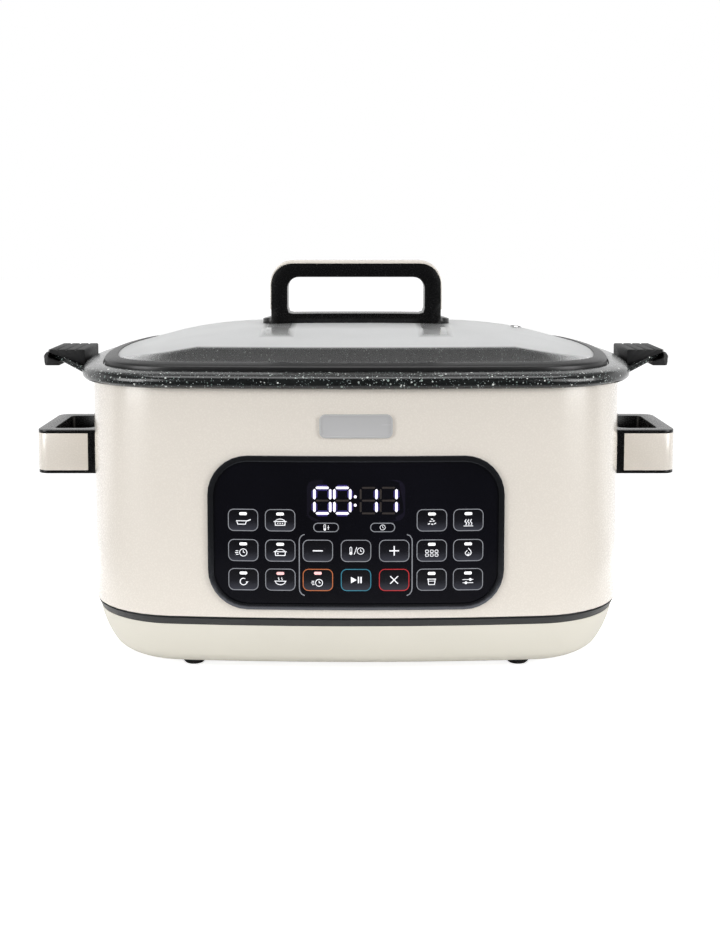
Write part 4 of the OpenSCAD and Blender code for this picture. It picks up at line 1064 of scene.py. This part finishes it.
pot_body()
ear("pot_ear_left", -1)
ear("pot_ear_right", 1)
lid_glass()
lid_gasket()
base_moulding()
trim_band()


def spring():
    """The sensor's coil spring, from its foot to 2 mm under the pot, as a copy of the CAD node's mesh."""
    cad = NODES["sensor_spring"]
    ob = bpy.data.objects.new("sensor_spring_coil", cad.data.copy())
    scene.collection.objects.link(ob)
    ob.matrix_world = cad.matrix_world.copy()
    piece(ob, "plated_steel", "housing", "plated_steel", "sensor_spring")
    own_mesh(ob)


spring()

# ---------------------------------------------------------------- floor and lights, sizes in metres
WORLD, STUDIO_DIM, FLOOR_LIFT = 0.22, 0.07, 0.8
SIDE_POWER, FRONT_POWER, TOP_POWER, REAR_POWER = 8.5, 5.5, 14.0, 12.0
FLOOR_REACH, FLOOR_FRONT, FLOOR_DROP = 6.0, -0.47, 0.0002
# how far out the floor turns from shaded to plain white: its colour and its own light
FLOOR_COLOUR_FADE, FLOOR_LIGHT_FADE = (0.28, 0.35), (0.24, 0.34)
LAMP_AIM = (0, 0, 0.12)


def seen_directly(t, mirrored):
    """1 for what the camera sees straight or through glass; gloss shows the share given by mirrored."""
    lp = t.nodes.new("ShaderNodeLightPath")
    clear = calc(t, "MAXIMUM", lp.outputs["Is Camera Ray"], lp.outputs["Is Transmission Ray"])
    return calc(t, "MAXIMUM", clear, calc(t, "MULTIPLY", lp.outputs["Is Glossy Ray"], mirrored))


def floor_material():
    """Pale near the object, where it takes its shadow, and plain white further out."""
    t, b, co = material("floor")
    wide = t.nodes.new("ShaderNodeMapping")
    wide.inputs["Scale"].default_value = (0.7, 1, 1)
    t.links.new(co, wide.inputs[0])
    far = t.nodes.new("ShaderNodeVectorMath")
    far.operation = "LENGTH"
    t.links.new(wide.outputs[0], far.inputs[0])
    _, y, _ = axes(t, co)
    uneven = calc(t, "ADD", far.outputs["Value"], maprange(t, noise(t, co, 3.0, 2.0), 0, 1, 0, 0.02))
    near, away = FLOOR_COLOUR_FADE
    colour = ramp(t, uneven, [(near, (0.82, 0.82, 0.82)), (away, (0.15, 0.15, 0.15))])
    t.links.new(colour, b.inputs["Base Color"])
    b.inputs["Roughness"].default_value = 0.9
    b.inputs["Specular IOR Level"].default_value = 0.1
    lift = t.nodes.new("ShaderNodeEmission")
    lift.inputs[0].default_value = (1, 1, 1, 1)
    glow = maprange(t, far.outputs["Value"], *FLOOR_LIGHT_FADE, FLOOR_LIFT, 1.0)
    shown = seen_directly(t, maprange(t, y, -0.1, 0.15, 0.0, 1.0))
    t.links.new(calc(t, "MULTIPLY", glow, shown), lift.inputs[1])
    add = t.nodes.new("ShaderNodeAddShader")
    t.links.new(b.outputs[0], add.inputs[0])
    t.links.new(lift.outputs[0], add.inputs[1])
    to_output(t, add.outputs[0])


def floor():
    me = bpy.data.meshes.new("floor")
    x, front, back = FLOOR_REACH, FLOOR_FRONT, FLOOR_REACH
    me.from_pydata([(-x, front, 0), (x, front, 0), (x, back, 0), (-x, back, 0)], [], [(0, 1, 2, 3)])
    fl = bpy.data.objects.new("floor", me)
    fl.location = (0, 0, -FLOOR_DROP)
    scene.collection.objects.link(fl)
    floor_material()
    fl.data.materials.append(mats["floor"])


def background(t, strength):
    """White background light."""
    n = t.nodes.new("ShaderNodeBackground")
    n.inputs[0].default_value = (1, 1, 1, 1)
    feed(t, strength, n.inputs[1])
    return n.outputs[0]


def world():
    """Even light on the object; seen straight, through glass or in gloss it is the white backdrop instead."""
    w = bpy.data.worlds.new("studio")
    w.use_nodes = True
    scene.world = w
    t = w.node_tree
    t.nodes.clear()
    out = t.nodes.new("ShaderNodeOutputWorld")
    lp = t.nodes.new("ShaderNodeLightPath")
    tc = t.nodes.new("ShaderNodeTexCoord")
    _, y, z = axes(t, tc.outputs["Generated"])
    # in gloss the backdrop stands behind the object, and the camera's side of the studio is dim
    back = calc(t, "MULTIPLY", maprange(t, y, -0.55, 0.25, STUDIO_DIM, 1.0),
                maprange(t, z, 0.42, 0.55, 1.0, 0.3))
    white = background(t, calc(t, "MAXIMUM", back, lp.outputs["Is Camera Ray"]))
    shown = seen_directly(t, lp.outputs["Is Glossy Ray"])
    t.links.new(mix_shaders(t, shown, background(t, WORLD), white), out.inputs[0])


def area(name, place, aim, size, power):
    """A soft rectangular lamp that the camera doesn't see."""
    d = bpy.data.lights.new(name, "AREA")
    d.shape = "RECTANGLE"
    d.size, d.size_y = size
    d.energy = power
    lamp = bpy.data.objects.new(name, d)
    lamp.location = place
    lamp.rotation_euler = (Vector(aim) - Vector(place)).to_track_quat("-Z", "Y").to_euler()
    lamp.visible_camera = False
    scene.collection.objects.link(lamp)
    return lamp


def lamps():
    for name, side in (("strip_left", -1), ("strip_right", 1)):
        area(name, (side * 1.25, -0.78, 0.37), LAMP_AIM, (0.7, 0.7), SIDE_POWER)
    for name, side in (("front_left", -1), ("front_right", 1)):
        area(name, (side * 1.0, -1.2, 0.75), LAMP_AIM, (0.7, 0.9), FRONT_POWER)
    area("top", (0, -0.1, 1.7), (0, 0, 0.1), (1.6, 1.2), TOP_POWER)
    rear = area("rear", (0, 1.7, 0.8), LAMP_AIM, (1.8, 0.7), REAR_POWER)
    rear.visible_glossy = False
    rear.visible_transmission = False


floor()
world()
lamps()
